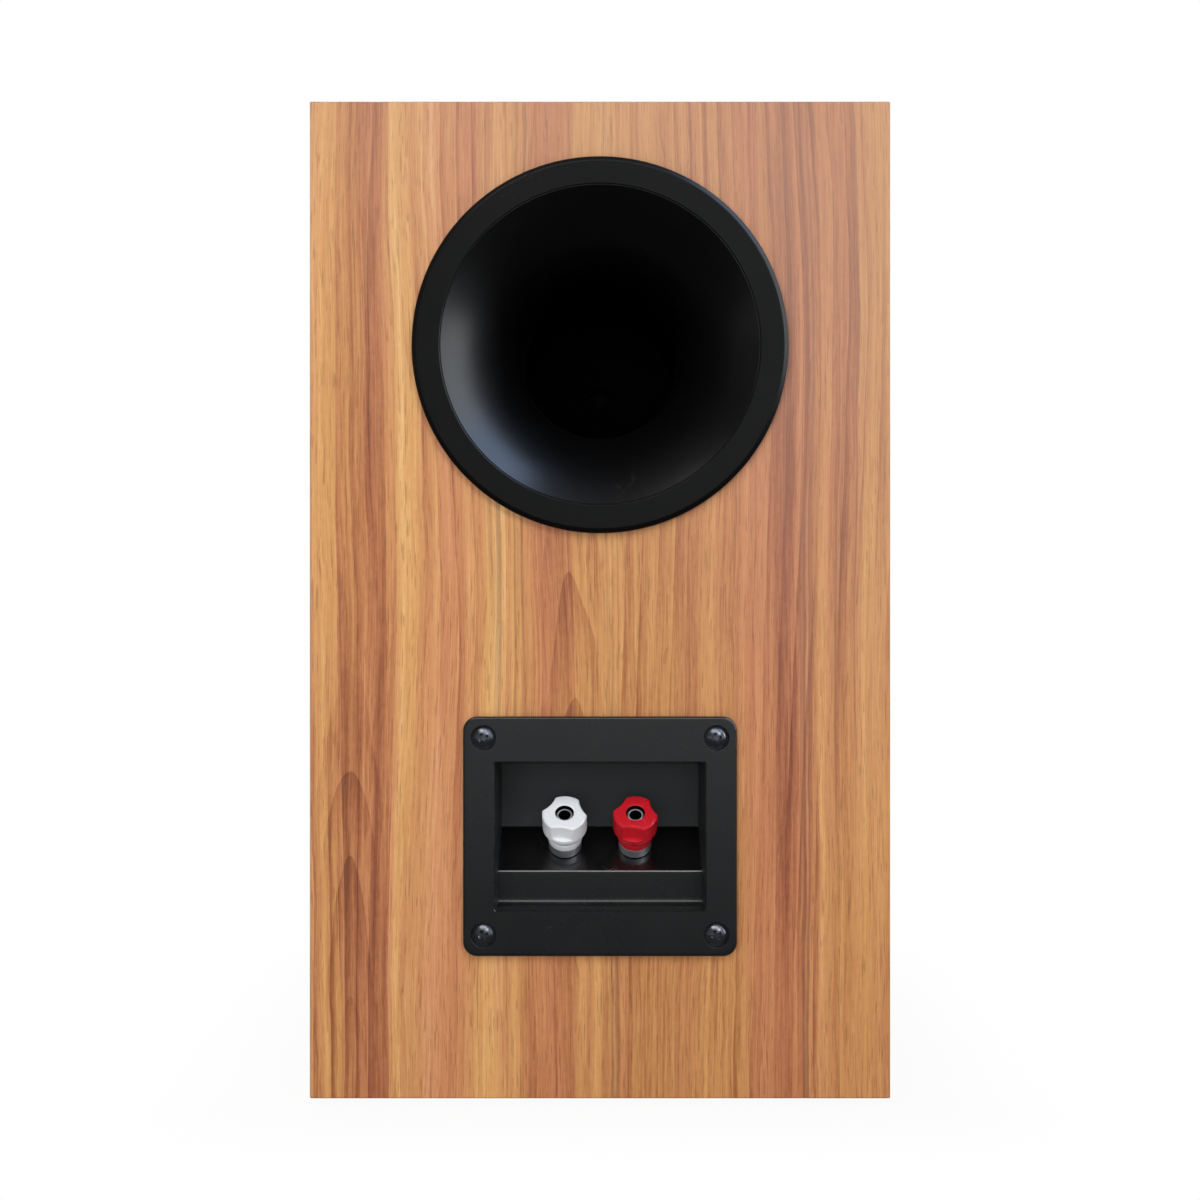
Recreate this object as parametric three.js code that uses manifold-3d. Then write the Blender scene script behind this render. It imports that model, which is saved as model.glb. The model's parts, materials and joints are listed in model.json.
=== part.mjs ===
// A rear-ported two-way bookshelf loudspeaker: mitred wooden cabinet, flared port, angled
// terminal cup with two screw-down binding posts, woofer, tweeter, crossover and grille.
// Millimetres, +Z up, the drivers face -Y, and the origin is under the feet at mid-depth.
import * as THREE from 'three';
import { mergeVertices } from 'three/addons/utils/BufferGeometryUtils.js';
import Module from 'manifold-3d';

const wasm = await Module();
wasm.setup();

// ---- Fits ----
const seatGap = 0.3; // between a piece and the cut that receives it
const largeSteps = 32; // facets round a large circle
const smallSteps = 16; // facets round a small circle
const fineSteps = 12; // facets round a screw or a peg
const cornerSteps = 3; // facets round a rounded corner
const overrun = 1; // how far a cutting tool runs past the faces that it cuts

// ---- Cabinet ----
const cabinetWidth = 170;
const cabinetHeight = 292;
const cabinetDepth = 223; // baffle face to rear face
const wallThickness = 12;
const baffleThickness = 15;
const baffleChamfer = 1.5;
const braceThickness = 10;
const braceRail = 24; // wood left round the brace's window
const braceCorner = 12;
const footHeight = 2.5;
const footRadius = 7;
const footSideInset = 18; // foot centre from the side edge
const footEndInset = 26; // foot centre from the baffle's face or the rear face
const footChamfer = 0.6;
const paddingThickness = 11;
const paddingLength = 140;
const paddingGap = 6; // over the inner floor
const paddingTopGap = 20; // under the brace

// ---- Port ----
const portFromTop = 71.5; // port axis below the cabinet's top
const flangeRadius = 55;
const flangeProud = 3;
const flangeEdge = 1.6; // rounding of the flange's outer edge
const portMouthRadius = 46.7;
const portBoreRadius = 24;
const flareDepth = 55; // from the flange's face to the parallel bore
const flarePower = 3.2; // how fast the flare closes
const flareSteps = 6;
const flareWall = 2.6;
const portSpigotWall = 1.6;
const portSpigotLength = 12;
const portTubeWall = 2;
const portDepth = 138; // flange's face to the tube's inner end
const portCollarDepth = 6; // locating ring inside the rear panel

// ---- Terminal cup ----
const cupHeight = 77; // plate centre over the cabinet's underside
const plateWidth = 80;
const plateHeight = 70;
const plateCorner = 4.2;
const plateProud = 2.3;
const plateEdge = 0.9;
const screwSpacingX = 68;
const screwSpacingZ = 57.5;
const recessWidth = 61.4;
const recessHeight = 44;
const recessDepth = 22; // plate face to the upright back
const recessMouthCorner = 1;
const recessBackCorner = 3;
const recessDraft = 1; // how far each side leans in over the full depth
const landDepth = 10; // plate face to the upright land below the sloping floor
const ridgeHeight = -11.5; // front edge of the sloping floor from the plate's centre line
const floorSlope = Math.PI / 4;
const cupWall = 2.5;

// ---- Plate screws ----
const screwShankRadius = 1.5;
const screwLength = 11;
const screwTip = 2;
const screwHeadRadius = 3.5;
const screwHeadHeight = 1.6;
const screwHeadSide = 0.4; // upright edge below the dome
const counterboreDepth = 1.2;
const crossSlotLength = 3.6;
const crossSlotWidth = 0.8;
const crossSlotDepth = 0.9;

// ---- Binding posts ----
const postSpacing = 20.9;
const postFromRidge = 9.6; // post axis behind the floor's front edge, along the slope
const studRadius = 2.45;
const studTail = 12; // below the floor
const studShortfall = 1; // stud end below the cap's top
const studChamfer = 0.3;
const plugBoreRadius = 2; // takes a 4 mm plug
const plugBoreDepth = 9;
const collarRadius = 4.9;
const collarHeight = 3.2;
const collarChamfer = 0.5;
const capHeight = 11.9;
const capSkirtRadius = 5.1;
const capSkirtHeight = 2;
const capGrooveWidth = 0.5;
const capGrooveDepth = 0.35;
const capTaper = 2.9;
const capHeadRadius = 6.6;
const capChamfer = 0.45;
const capCeiling = 2.1;
const scallopCount = 3;
const scallopRadius = 9.4;
const scallopDepth = 1.25;
const scallopHeight = 5.4;
const scallopTurn = -0.13; // the front scallop turns a little to one side, in radians
const insertRadius = 3.9;
const tagThickness = 0.8;
const tagRadius = 4.2;
const tagLength = 11;
const tagWidth = 4;
const hexNutWidth = 8; // across the flats
const hexNutHeight = 3;

// ---- Crossover ----
const boardWidth = 84;
const boardLength = 70;
const boardThickness = 1.6;
const boardCentreY = 42;
const standoffHeight = 4;
const standoffRadius = 3;
const standoffInset = 5;
const inductorRadius = 17;
const inductorCore = 6;
const inductorHeight = 18;
const inductorFlange = 1.5;
const capacitorRadius = 8;
const capacitorLength = 32;
const resistorSide = 9;
const resistorLength = 26;
const partsInset = 20; // inductor and capacitor axes from the board's side edges
const resistorInset = 9; // resistor's axis from the board's front edge

// ---- Woofer ----
const wooferFlangeRadius = 71;
const wooferFlange = 4;
const wooferBodyRadius = 59;
const basketWall = 2.5;
const basketDepth = 39;
const basketRearRadius = 43;
const basketRearHole = 31.7;
const basketShoulder = 2; // upright part behind the mounting rim
const basketHeel = 5; // upright part at the rear
const spiderLedge = 4; // glued width of the spider's rim
const windowFrontRail = 5;
const windowRearRail = 3;
const basketWindows = 6;
const windowAngle = 0.68; // radians
const rollOuterRadius = 57;
const rollInnerRadius = 46.5;
const rollHeight = 5;
const rollSkin = 0.7;
const glueGap = 0.1;
const rollSteps = 4;
const rollLap = 1; // basket lip under the roll's outer foot
const rollSeat = 1.6; // gluing face of the roll below the frame's face
const rollFlange = 6.5;
const coneSkin = 1;
const coneNeckRadius = 13.6;
const coneDepth = 20;
const coneCurve = 2.4; // how far the cone bellies from a straight line
const coneSteps = 3;
const capDomeRadius = 17;
const capDomeHeight = 8;
const capDomeSkin = 0.6;
const spiderRadius = 40.5;
const spiderDepth = 30;
const spiderRipple = 1.2;
const spiderRipples = 4;
const spiderSkin = 0.8;
const coilRadius = 12.7; // inside of the former
const formerWall = 0.5;
const coilWall = 0.7;
const coilHeight = 11;
const coilAirGap = 0.5;
const polePlateRadius = 38;
const polePlate = 5;
const magnetRadius = 45;
const magnetCore = 22;
const magnetHeight = 15;
const yokeRadius = 41;
const poleVentRadius = 4;

// ---- Tweeter ----
const tweeterFlangeRadius = 50;
const tweeterFlange = 4;
const tweeterBodyRadius = 37;
const hornRadius = 30;
const hornThroatRadius = 17;
const hornThroatLand = 1;
const hornSteps = 3;
const faceplateChamfer = 0.5;
const domeRadius = 12.6;
const domeHeight = 6;
const domeSkin = 0.5;
const domeSteps = 3;
const domeRollOuter = 16;
const domeRollHeight = 1.4;
const domeRollFlange = 4;
const tweeterRim = 2; // spacer ring behind the faceplate
const tweeterPlate = 4;
const tweeterPlateRadius = 33;
const tweeterMagnetRadius = 35;
const tweeterMagnetCore = 18;
const tweeterMagnetHeight = 10;
const tweeterCoilHeight = 4;
const tweeterCoilShift = 0.5; // winding's middle behind the top plate's middle

// ---- Grille ----
const grilleDepth = 12; // cloth face to baffle face
const grilleMargin = 2; // baffle left showing round the grille
const grilleStandOff = 0.5;
const grilleBar = 14;
const grilleCorner = 4;
const clothThickness = 0.8;
const crossbarWidth = 8;
const pegRadius = 3;
const pegLength = 8;
const pegRounding = 1;
const socketWall = 1.2;
const socketFloor = 1.2;

// ---- Places worked out from the sizes ----
const totalDepth = grilleDepth + cabinetDepth + flangeProud;
const rearFace = totalDepth / 2 - flangeProud;
const baffleFace = rearFace - cabinetDepth;
const baffleBack = baffleFace + baffleThickness;
const innerRear = rearFace - wallThickness;
const halfWidth = cabinetWidth / 2;
const innerHalfWidth = halfWidth - wallThickness;
const driverMargin = (cabinetHeight - 2 * wooferFlangeRadius - 2 * tweeterFlangeRadius) / 3;
const wooferHeight = driverMargin + wooferFlangeRadius;
const tweeterHeight = cabinetHeight - driverMargin - tweeterFlangeRadius;
const crossbarHeight = cabinetHeight - 1.5 * driverMargin - 2 * tweeterFlangeRadius;
const portHeight = cabinetHeight - portFromTop;
const portTubeRadius = portBoreRadius + portSpigotWall + seatGap + portTubeWall;
const wooferTop = wooferHeight + wooferBodyRadius;
const braceHeight = (wooferTop + portHeight - portTubeRadius - braceThickness) / 2;
const paddingBottom = wallThickness + paddingGap;
const paddingHeight = braceHeight - paddingTopGap - paddingBottom;
const postTilt = Math.PI / 2 - floorSlope;
const screwSeat = plateProud - counterboreDepth;
const portCutRadius = portMouthRadius + flareWall + seatGap;
const pilotRadius = screwShankRadius + seatGap;
const postHoleRadius = studRadius + seatGap;
const capHoleRadius = studRadius + seatGap;
const capStart = seatGap + collarHeight + seatGap;
const socketBore = pegRadius + seatGap;
const socketRadius = socketBore + socketWall;
const socketDepth = pegLength + 2 * seatGap + socketFloor;
const grilleWidth = cabinetWidth - 2 * grilleMargin;
const grilleHeight = cabinetHeight - 2 * grilleMargin;
const frameWidth = grilleWidth - 2 * (clothThickness + seatGap);
const frameHeight = grilleHeight - 2 * (clothThickness + seatGap);
const frameThickness = grilleDepth - grilleStandOff - clothThickness - seatGap;
const pegX = (frameWidth - grilleBar) / 2;
const pegZ = (frameHeight - grilleBar) / 2;
const boardTop = wallThickness + standoffHeight + boardThickness;

// ---- Materials ----
function finish(color, roughness, metalness = 0) {
  return new THREE.MeshStandardMaterial({ color, roughness, metalness });
}
const walnut = finish(0xc68c5f, 0.5);
const blackBoard = finish(0x17181a, 0.55);
const bareBoard = finish(0x9c7b55, 0.85);
const rubber = finish(0x151515, 0.9);
const blackPlastic = finish(0x26292b, 0.4);
const glossBlack = finish(0x0d0d0e, 0.2);
const whitePlastic = finish(0xe4e8ec, 0.4);
const redPlastic = finish(0xb3121f, 0.35);
const nickel = finish(0xb9bcc0, 0.3, 1);
const brass = finish(0xc9a45a, 0.35, 1);
const steel = finish(0x8f9296, 0.4, 1);
const ferrite = finish(0x2e2e30, 0.7);
const copper = finish(0xb4673c, 0.4, 1);
const pulp = finish(0x1c1c1e, 0.8);
const silk = finish(0x202024, 0.7);
const cloth = finish(0x121214, 0.95);
const greenBoard = finish(0x2c5a3a, 0.5);
const wadding = finish(0xd8d6d0, 0.95);

// ---- Building blocks ----
function toSolid(geometry) {
  const bare = new THREE.BufferGeometry();
  bare.setAttribute('position', geometry.getAttribute('position').clone());
  if (geometry.index) bare.setIndex(geometry.index.clone());
  const merged = mergeVertices(bare, 1e-4);
  const vertProperties = new Float32Array(merged.getAttribute('position').array);
  const triVerts = new Uint32Array(merged.index.array);
  return new wasm.Manifold(new wasm.Mesh({ numProp: 3, vertProperties, triVerts }));
}

function toGeometry(solid) {
  const mesh = solid.getMesh();
  const geometry = new THREE.BufferGeometry();
  geometry.setAttribute('position', new THREE.BufferAttribute(mesh.vertProperties, 3));
  geometry.setIndex(new THREE.BufferAttribute(mesh.triVerts, 1));
  return geometry;
}

function cut(base, tools) {
  return toGeometry(tools.reduce((solid, tool) => solid.subtract(toSolid(tool)), toSolid(base)));
}

function fuse(base, extras) {
  return toGeometry(extras.reduce((solid, extra) => solid.add(toSolid(extra)), toSolid(base)));
}

// A skin through matching rings of points, closed by a flat cap at each end.
function loft(rings) {
  const count = rings[0].length;
  const index = [];
  for (let ring = 0; ring < rings.length - 1; ring++) {
    for (let i = 0; i < count; i++) {
      const a = ring * count + i;
      const b = ring * count + ((i + 1) % count);
      index.push(a, b, b + count, a, b + count, a + count);
    }
  }
  const last = (rings.length - 1) * count;
  for (let i = 1; i < count - 1; i++) {
    index.push(0, i + 1, i, last, last + i, last + i + 1);
  }
  const geometry = new THREE.BufferGeometry().setFromPoints(rings.flat());
  geometry.setIndex(index);
  return outward(geometry);
}

// Turns the faces round if they point into the solid.
function outward(geometry) {
  const position = geometry.getAttribute('position');
  const index = [...geometry.index.array];
  const corner = (i) => new THREE.Vector3().fromBufferAttribute(position, index[i]);
  let volume = 0;
  for (let i = 0; i < index.length; i += 3) {
    volume += corner(i).dot(corner(i + 1).cross(corner(i + 2)));
  }
  if (volume < 0) geometry.setIndex(index.reverse());
  return geometry;
}

// Rounded rectangle in the XZ plane at depth y, as a ring of points for a loft.
function roundedRing(width, height, corner, y) {
  const shape = roundedRectangle(width, height, corner);
  return shape.getPoints(cornerSteps).map((p) => new THREE.Vector3(p.x, y, p.y));
}

function roundedRectangle(width, height, corner) {
  const [x, z] = [width / 2, height / 2];
  const shape = new THREE.Shape();
  shape.moveTo(x, -z + corner);
  shape.lineTo(x, z - corner);
  shape.absarc(x - corner, z - corner, corner, 0, Math.PI / 2);
  shape.lineTo(-x + corner, z);
  shape.absarc(-x + corner, z - corner, corner, Math.PI / 2, Math.PI);
  shape.lineTo(-x, -z + corner);
  shape.absarc(-x + corner, -z + corner, corner, Math.PI, 1.5 * Math.PI);
  shape.lineTo(x - corner, -z);
  shape.absarc(x - corner, -z + corner, corner, 1.5 * Math.PI, 2 * Math.PI);
  return shape;
}

// Revolves a closed profile of [radius, y] pairs round the Y axis.
function revolve(profile, steps) {
  const points = profile.map(([radius, y]) => new THREE.Vector2(radius, y));
  const onAxis = points[0].x === 0 && points[points.length - 1].x === 0;
  if (!onAxis) points.push(points[0].clone());
  return outward(new THREE.LatheGeometry(points, steps));
}

// Points of a rounded edge, from its widest point round to its highest one.
function quarterArc(centreRadius, centreY, radius) {
  const points = [];
  for (let step = 0; step <= cornerSteps; step++) {
    const angle = (step / cornerSteps) * (Math.PI / 2);
    points.push([centreRadius + radius * Math.cos(angle), centreY + radius * Math.sin(angle)]);
  }
  return points;
}

// A round bar along Y from y0 to y1.
function bar(radius, y0, y1, steps) {
  const geometry = new THREE.CylinderGeometry(radius, radius, y1 - y0, steps);
  return geometry.translate(0, (y0 + y1) / 2, 0);
}

// Extrudes a shape drawn in X and Z along Y from y0 to y1. Each arc gets twice curveSegments facets.
function slab(shape, y0, y1, curveSegments = cornerSteps) {
  const options = { depth: y1 - y0, bevelEnabled: false, curveSegments };
  const geometry = new THREE.ExtrudeGeometry(shape, options);
  return geometry.rotateX(Math.PI / 2).translate(0, y1, 0);
}

function washer(innerRadius, outerRadius, start, end, steps) {
  const section = [[innerRadius, start], [outerRadius, start], [outerRadius, end], [innerRadius, end]];
  return revolve(section, steps);
}

function add(parent, name, geometry, material) {
  const mesh = new THREE.Mesh(geometry, material);
  mesh.name = name;
  parent.add(mesh);
  return mesh;
}

function groupAt(parent, x, y, z) {
  const group = new THREE.Group();
  group.position.set(x, y, z);
  parent.add(group);
  return group;
}

// ---- Cabinet ----
// One corner of the mitred box: side and level are -1 or 1, rear is true at the back.
function cabinetCorner(side, level, rear, inner) {
  const inset = inner ? wallThickness : 0;
  const x = side * (halfWidth - inset);
  const y = rear ? rearFace - inset : baffleBack;
  const z = level > 0 ? cabinetHeight - inset : inset;
  return new THREE.Vector3(x, y, z);
}

function mitredPanel(corners) {
  return loft([false, true].map((inner) => corners.map((corner) => cabinetCorner(...corner, inner))));
}

function sidePanel(side) {
  return mitredPanel([[side, -1, false], [side, 1, false], [side, 1, true], [side, -1, true]]);
}

function levelPanel(level) {
  return mitredPanel([[-1, level, false], [1, level, false], [1, level, true], [-1, level, true]]);
}

function screwPlaces() {
  const places = [];
  for (const z of [screwSpacingZ / 2, -screwSpacingZ / 2]) {
    for (const x of [screwSpacingX / 2, -screwSpacingX / 2]) places.push([x, z]);
  }
  return places;
}

function rearPanel() {
  const panel = mitredPanel([[-1, -1, true], [1, -1, true], [1, 1, true], [-1, 1, true]]);
  const portHole = bar(portCutRadius, innerRear - overrun, rearFace + overrun, largeSteps);
  const cupSpace = 2 * (cupWall + seatGap);
  const cupOpening = roundedRectangle(recessWidth + cupSpace, recessHeight + cupSpace, recessMouthCorner);
  const pilots = screwPlaces().map(([x, z]) => {
    const pilot = bar(pilotRadius, rearFace + screwSeat - screwLength, rearFace + overrun, fineSteps);
    return pilot.translate(x, 0, cupHeight + z);
  });
  return cut(panel, [
    portHole.translate(0, 0, portHeight),
    slab(cupOpening, innerRear - overrun, rearFace + overrun).translate(0, 0, cupHeight),
    ...pilots,
  ]);
}

function baffle() {
  const middle = cabinetHeight / 2;
  const outline = (inset, y) => [[-1, -1], [1, -1], [1, 1], [-1, 1]].map(([side, level]) => {
    return new THREE.Vector3(side * (halfWidth - inset), y, middle + level * (middle - inset));
  });
  const board = loft([
    outline(0, baffleBack),
    outline(0, baffleFace + baffleChamfer),
    outline(baffleChamfer, baffleFace),
  ]);
  const front = baffleFace - overrun;
  const driverCuts = [
    [wooferHeight, wooferBodyRadius + seatGap, wooferFlangeRadius + seatGap, wooferFlange],
    [tweeterHeight, tweeterBodyRadius + seatGap, tweeterFlangeRadius + seatGap, tweeterFlange],
  ].flatMap(([height, holeRadius, rebateRadius, rebate]) => [
    bar(holeRadius, front, baffleBack + overrun, largeSteps).translate(0, 0, height),
    bar(rebateRadius, front, baffleFace + rebate + seatGap, largeSteps).translate(0, 0, height),
  ]);
  const pegHoles = pegPlaces().map(([x, z]) => {
    const hole = bar(socketRadius + seatGap, front, baffleFace + socketDepth + seatGap, fineSteps);
    return hole.translate(x, 0, middle + z);
  });
  return cut(board, [...driverCuts, ...pegHoles]);
}

function brace() {
  const length = innerRear - baffleBack;
  const board = new THREE.BoxGeometry(2 * innerHalfWidth, length, braceThickness);
  const windowWidth = 2 * (innerHalfWidth - braceRail);
  const outline = roundedRectangle(windowWidth, length - 2 * braceRail, braceCorner);
  const reach = braceThickness / 2 + overrun;
  const opening = slab(outline, -reach, reach).rotateX(Math.PI / 2);
  return cut(board, [opening]).translate(0, (innerRear + baffleBack) / 2, braceHeight + braceThickness / 2);
}

function foot() {
  return revolve([
    [0, -footHeight],
    [footRadius - footChamfer, -footHeight],
    [footRadius, -footHeight + footChamfer],
    [footRadius, 0],
    [0, 0],
  ], fineSteps).rotateX(Math.PI / 2);
}

function padding(side) {
  const pad = new THREE.BoxGeometry(paddingThickness, paddingLength, paddingHeight);
  const x = side * (innerHalfWidth - paddingThickness / 2);
  return pad.translate(x, (innerRear + baffleBack) / 2, paddingBottom + paddingHeight / 2);
}

function buildCabinet(parent) {
  add(parent, 'left_panel', sidePanel(-1), walnut);
  add(parent, 'right_panel', sidePanel(1), walnut);
  add(parent, 'top_panel', levelPanel(1), walnut);
  add(parent, 'bottom_panel', levelPanel(-1), walnut);
  add(parent, 'rear_panel', rearPanel(), walnut);
  add(parent, 'front_baffle', baffle(), blackBoard);
  add(parent, 'window_brace', brace(), bareBoard);
  add(parent, 'left_padding', padding(-1), wadding);
  add(parent, 'right_padding', padding(1), wadding);
  const footX = halfWidth - footSideInset;
  for (const [row, y] of [['front', baffleFace + footEndInset], ['rear', rearFace - footEndInset]]) {
    add(groupAt(parent, -footX, y, 0), `${row}_left_foot`, foot(), rubber);
    add(groupAt(parent, footX, y, 0), `${row}_right_foot`, foot(), rubber);
  }
}

// ---- Port ----
// Radius of the flare's inner face at a depth below the flange's face.
function flareRadius(depth) {
  const left = Math.max(0, 1 - depth / flareDepth);
  return portBoreRadius + (portMouthRadius - portBoreRadius) * left ** flarePower;
}

function portFlare() {
  const depths = [];
  for (let step = 0; step <= flareSteps; step++) depths.push(flareDepth * (step / flareSteps) ** 1.5);
  const inner = depths.map((depth) => [flareRadius(depth), flangeProud - depth]);
  const collarY = -portCollarDepth;
  const outer = depths
    .map((depth) => [flareRadius(depth) + flareWall, flangeProud - depth])
    .filter(([, y]) => y < collarY);
  const shoulderY = flangeProud - flareDepth;
  const spigotEnd = shoulderY - portSpigotLength;
  const edge = quarterArc(flangeRadius - flangeEdge, flangeProud - flangeEdge, flangeEdge);
  const locatingRadius = portCutRadius - seatGap;
  return revolve([
    ...inner,
    [portBoreRadius, spigotEnd],
    [portBoreRadius + portSpigotWall, spigotEnd],
    [portBoreRadius + portSpigotWall, shoulderY],
    ...outer.reverse(),
    [locatingRadius - flareWall, collarY],
    [locatingRadius, collarY],
    [locatingRadius, 0],
    [flangeRadius, 0],
    ...edge,
  ], largeSteps);
}

function portTube() {
  const bore = portTubeRadius - portTubeWall;
  const start = flangeProud - flareDepth - seatGap;
  const end = flangeProud - portDepth;
  return washer(bore, portTubeRadius, end, start, largeSteps);
}

function buildPort(parent) {
  const port = groupAt(parent, 0, rearFace, portHeight);
  add(port, 'port_flare', portFlare(), blackPlastic);
  add(port, 'port_tube', portTube(), blackPlastic);
}

// ---- Terminal cup ----
// Side view of the recess as [y, z], y outward from the rear face and z up from the plate's middle.
function recessProfile() {
  const half = recessHeight / 2;
  const back = plateProud - recessDepth;
  const land = plateProud - landDepth;
  const deepLine = ridgeHeight + (recessDepth - landDepth) * Math.tan(floorSlope);
  return [
    [plateProud, half],
    [back, half - recessDraft],
    [back, deepLine],
    [land, ridgeHeight],
    [land, -half + recessDraft],
    [plateProud, -half],
  ].map(([y, z]) => new THREE.Vector2(y, z));
}

// Moves every side of a profile outward by a distance.
function offsetProfile(points, distance) {
  const turn = Math.sign(THREE.ShapeUtils.area(points));
  const edges = points.map((point, i) => {
    const next = points[(i + 1) % points.length];
    const along = next.clone().sub(point).normalize();
    const out = new THREE.Vector2(along.y * turn, -along.x * turn).multiplyScalar(distance);
    return { start: point.clone().add(out), along };
  });
  return edges.map((edge, i) => {
    const before = edges[(i + edges.length - 1) % edges.length];
    const gap = edge.start.clone().sub(before.start);
    const reach = gap.cross(edge.along) / before.along.cross(edge.along);
    return before.start.clone().addScaledVector(before.along, reach);
  });
}

// A side-view profile of [y, z] points carried across the width.
function sideExtrusion(points, width) {
  const left = points.map((p) => new THREE.Vector3(-width / 2, p.x, p.y));
  const right = points.map((p) => new THREE.Vector3(width / 2, p.x, p.y));
  const shape = new THREE.Shape(points);
  const caps = THREE.ShapeUtils.triangulateShape(shape.getPoints(), []);
  const count = points.length;
  const index = caps.flatMap(([a, b, c]) => [a, c, b, a + count, b + count, c + count]);
  for (let i = 0; i < count; i++) {
    const next = (i + 1) % count;
    index.push(i, next, next + count, i, next + count, i + count);
  }
  const geometry = new THREE.BufferGeometry().setFromPoints([...left, ...right]);
  geometry.setIndex(index);
  return outward(geometry);
}

function facePlate() {
  const ring = (inset, y) => {
    return roundedRing(plateWidth - 2 * inset, plateHeight - 2 * inset, plateCorner - inset, y);
  };
  const edge = quarterArc(-plateEdge, plateProud - plateEdge, plateEdge);
  return loft([ring(0, 0), ...edge.map(([outset, y]) => ring(-outset, y))]);
}

function recessTool() {
  const profile = recessProfile();
  profile[0].x += overrun;
  profile[profile.length - 1].x += overrun;
  const mouthWidth = recessWidth + 2 * overrun * (recessDraft / recessDepth);
  const backWidth = recessWidth - 2 * recessDraft;
  const drafted = loft([
    roundedRing(mouthWidth, recessHeight, recessMouthCorner, plateProud + overrun),
    roundedRing(backWidth, recessHeight, recessBackCorner, plateProud - recessDepth),
  ]);
  const prism = sideExtrusion(profile, 2 * recessWidth);
  return toGeometry(toSolid(prism).intersect(toSolid(drafted)));
}

// Foot of a post on the sloping floor, and the turn that stands it square to the floor.
function postPlacement(side) {
  const x = (side * postSpacing) / 2;
  const y = plateProud - landDepth - postFromRidge * Math.cos(floorSlope);
  const z = ridgeHeight + postFromRidge * Math.sin(floorSlope);
  return new THREE.Matrix4().makeRotationX(postTilt).setPosition(x, y, z);
}

function terminalCup() {
  const shell = offsetProfile(recessProfile(), cupWall);
  for (const corner of [shell[0], shell[shell.length - 1]]) corner.x = plateProud / 2;
  const tub = sideExtrusion(shell, recessWidth + 2 * cupWall);
  const moulded = fuse(facePlate(), [tub]);
  const screwHoles = screwPlaces().flatMap(([x, z]) => [
    bar(pilotRadius, -overrun, plateProud + overrun, fineSteps).translate(x, 0, z),
    bar(screwHeadRadius + seatGap, screwSeat, plateProud + overrun, smallSteps).translate(x, 0, z),
  ]);
  const postHoles = [-1, 1].map((side) => {
    return bar(postHoleRadius, -2 * cupWall, cupWall, fineSteps).applyMatrix4(postPlacement(side));
  });
  return cut(moulded, [recessTool(), ...screwHoles, ...postHoles]);
}

function plateScrew() {
  const dome = domeLine(screwHeadRadius, screwHeadHeight - screwHeadSide, 0, cornerSteps);
  const body = revolve([
    [0, -screwLength],
    [screwShankRadius, -screwLength + screwTip],
    [screwShankRadius, 0],
    [screwHeadRadius, 0],
    ...dome.map(([radius, y]) => [radius, screwHeadSide - y]),
  ], fineSteps);
  const slots = [[crossSlotLength, crossSlotWidth], [crossSlotWidth, crossSlotLength]].map(([x, z]) => {
    return new THREE.BoxGeometry(x, 2 * crossSlotDepth, z).translate(0, screwHeadHeight, 0);
  });
  return cut(body, slots);
}

// ---- Binding posts, drawn with the floor at y = 0 and the post along +Y ----
function postStud() {
  const end = capStart + capHeight - studShortfall;
  return revolve([
    [0, -studTail],
    [studRadius, -studTail],
    [studRadius, end - studChamfer],
    [studRadius - studChamfer / 2, end],
    [plugBoreRadius, end],
    [plugBoreRadius, end - plugBoreDepth],
    [0, end - plugBoreDepth - plugBoreRadius / 2],
  ], fineSteps);
}

function postCollar() {
  const top = seatGap + collarHeight;
  return revolve([
    [postHoleRadius, seatGap],
    [collarRadius, seatGap],
    [collarRadius, top - collarChamfer],
    [collarRadius - collarChamfer, top],
    [postHoleRadius, top],
  ], smallSteps);
}

function postInsert() {
  const bottom = capStart + seatGap;
  const top = capStart + capHeight - capCeiling - seatGap;
  return revolve([
    [postHoleRadius, bottom],
    [insertRadius, bottom],
    [insertRadius, top],
    [postHoleRadius, top],
  ], fineSteps);
}

function postCap() {
  const bore = insertRadius + seatGap;
  const grooveEnd = capSkirtHeight + capGrooveWidth;
  const body = revolve([
    [bore, 0],
    [capSkirtRadius, 0],
    [capSkirtRadius, capSkirtHeight],
    [capSkirtRadius - capGrooveDepth, capSkirtHeight],
    [capSkirtRadius - capGrooveDepth, grooveEnd],
    [capSkirtRadius, grooveEnd],
    [capHeadRadius, grooveEnd + capTaper],
    [capHeadRadius, capHeight - capChamfer],
    [capHeadRadius - capChamfer, capHeight],
    [capHoleRadius, capHeight],
    [capHoleRadius, capHeight - capCeiling],
    [bore, capHeight - capCeiling],
  ], smallSteps);
  const reach = capHeadRadius - scallopDepth + scallopRadius;
  const scallops = [];
  for (let i = 0; i < scallopCount; i++) {
    const scallop = bar(scallopRadius, capHeight - scallopHeight, capHeight + overrun, smallSteps);
    const turn = scallopTurn + (i * 2 * Math.PI) / scallopCount;
    scallops.push(scallop.translate(0, 0, -reach).rotateY(turn));
  }
  return cut(body, scallops).translate(0, capStart, 0);
}

function solderTag() {
  const shape = new THREE.Shape();
  const half = tagWidth / 2;
  const joinAngle = Math.asin(half / tagRadius);
  shape.moveTo(half, tagLength);
  shape.lineTo(-half, tagLength);
  shape.absarc(0, 0, tagRadius, Math.PI / 2 + joinAngle, 2.5 * Math.PI - joinAngle);
  shape.closePath();
  shape.holes.push(new THREE.Path().absarc(0, 0, postHoleRadius, 0, 2 * Math.PI, true));
  const top = -cupWall - seatGap;
  return slab(shape, top - tagThickness, top, fineSteps / 2);
}

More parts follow.
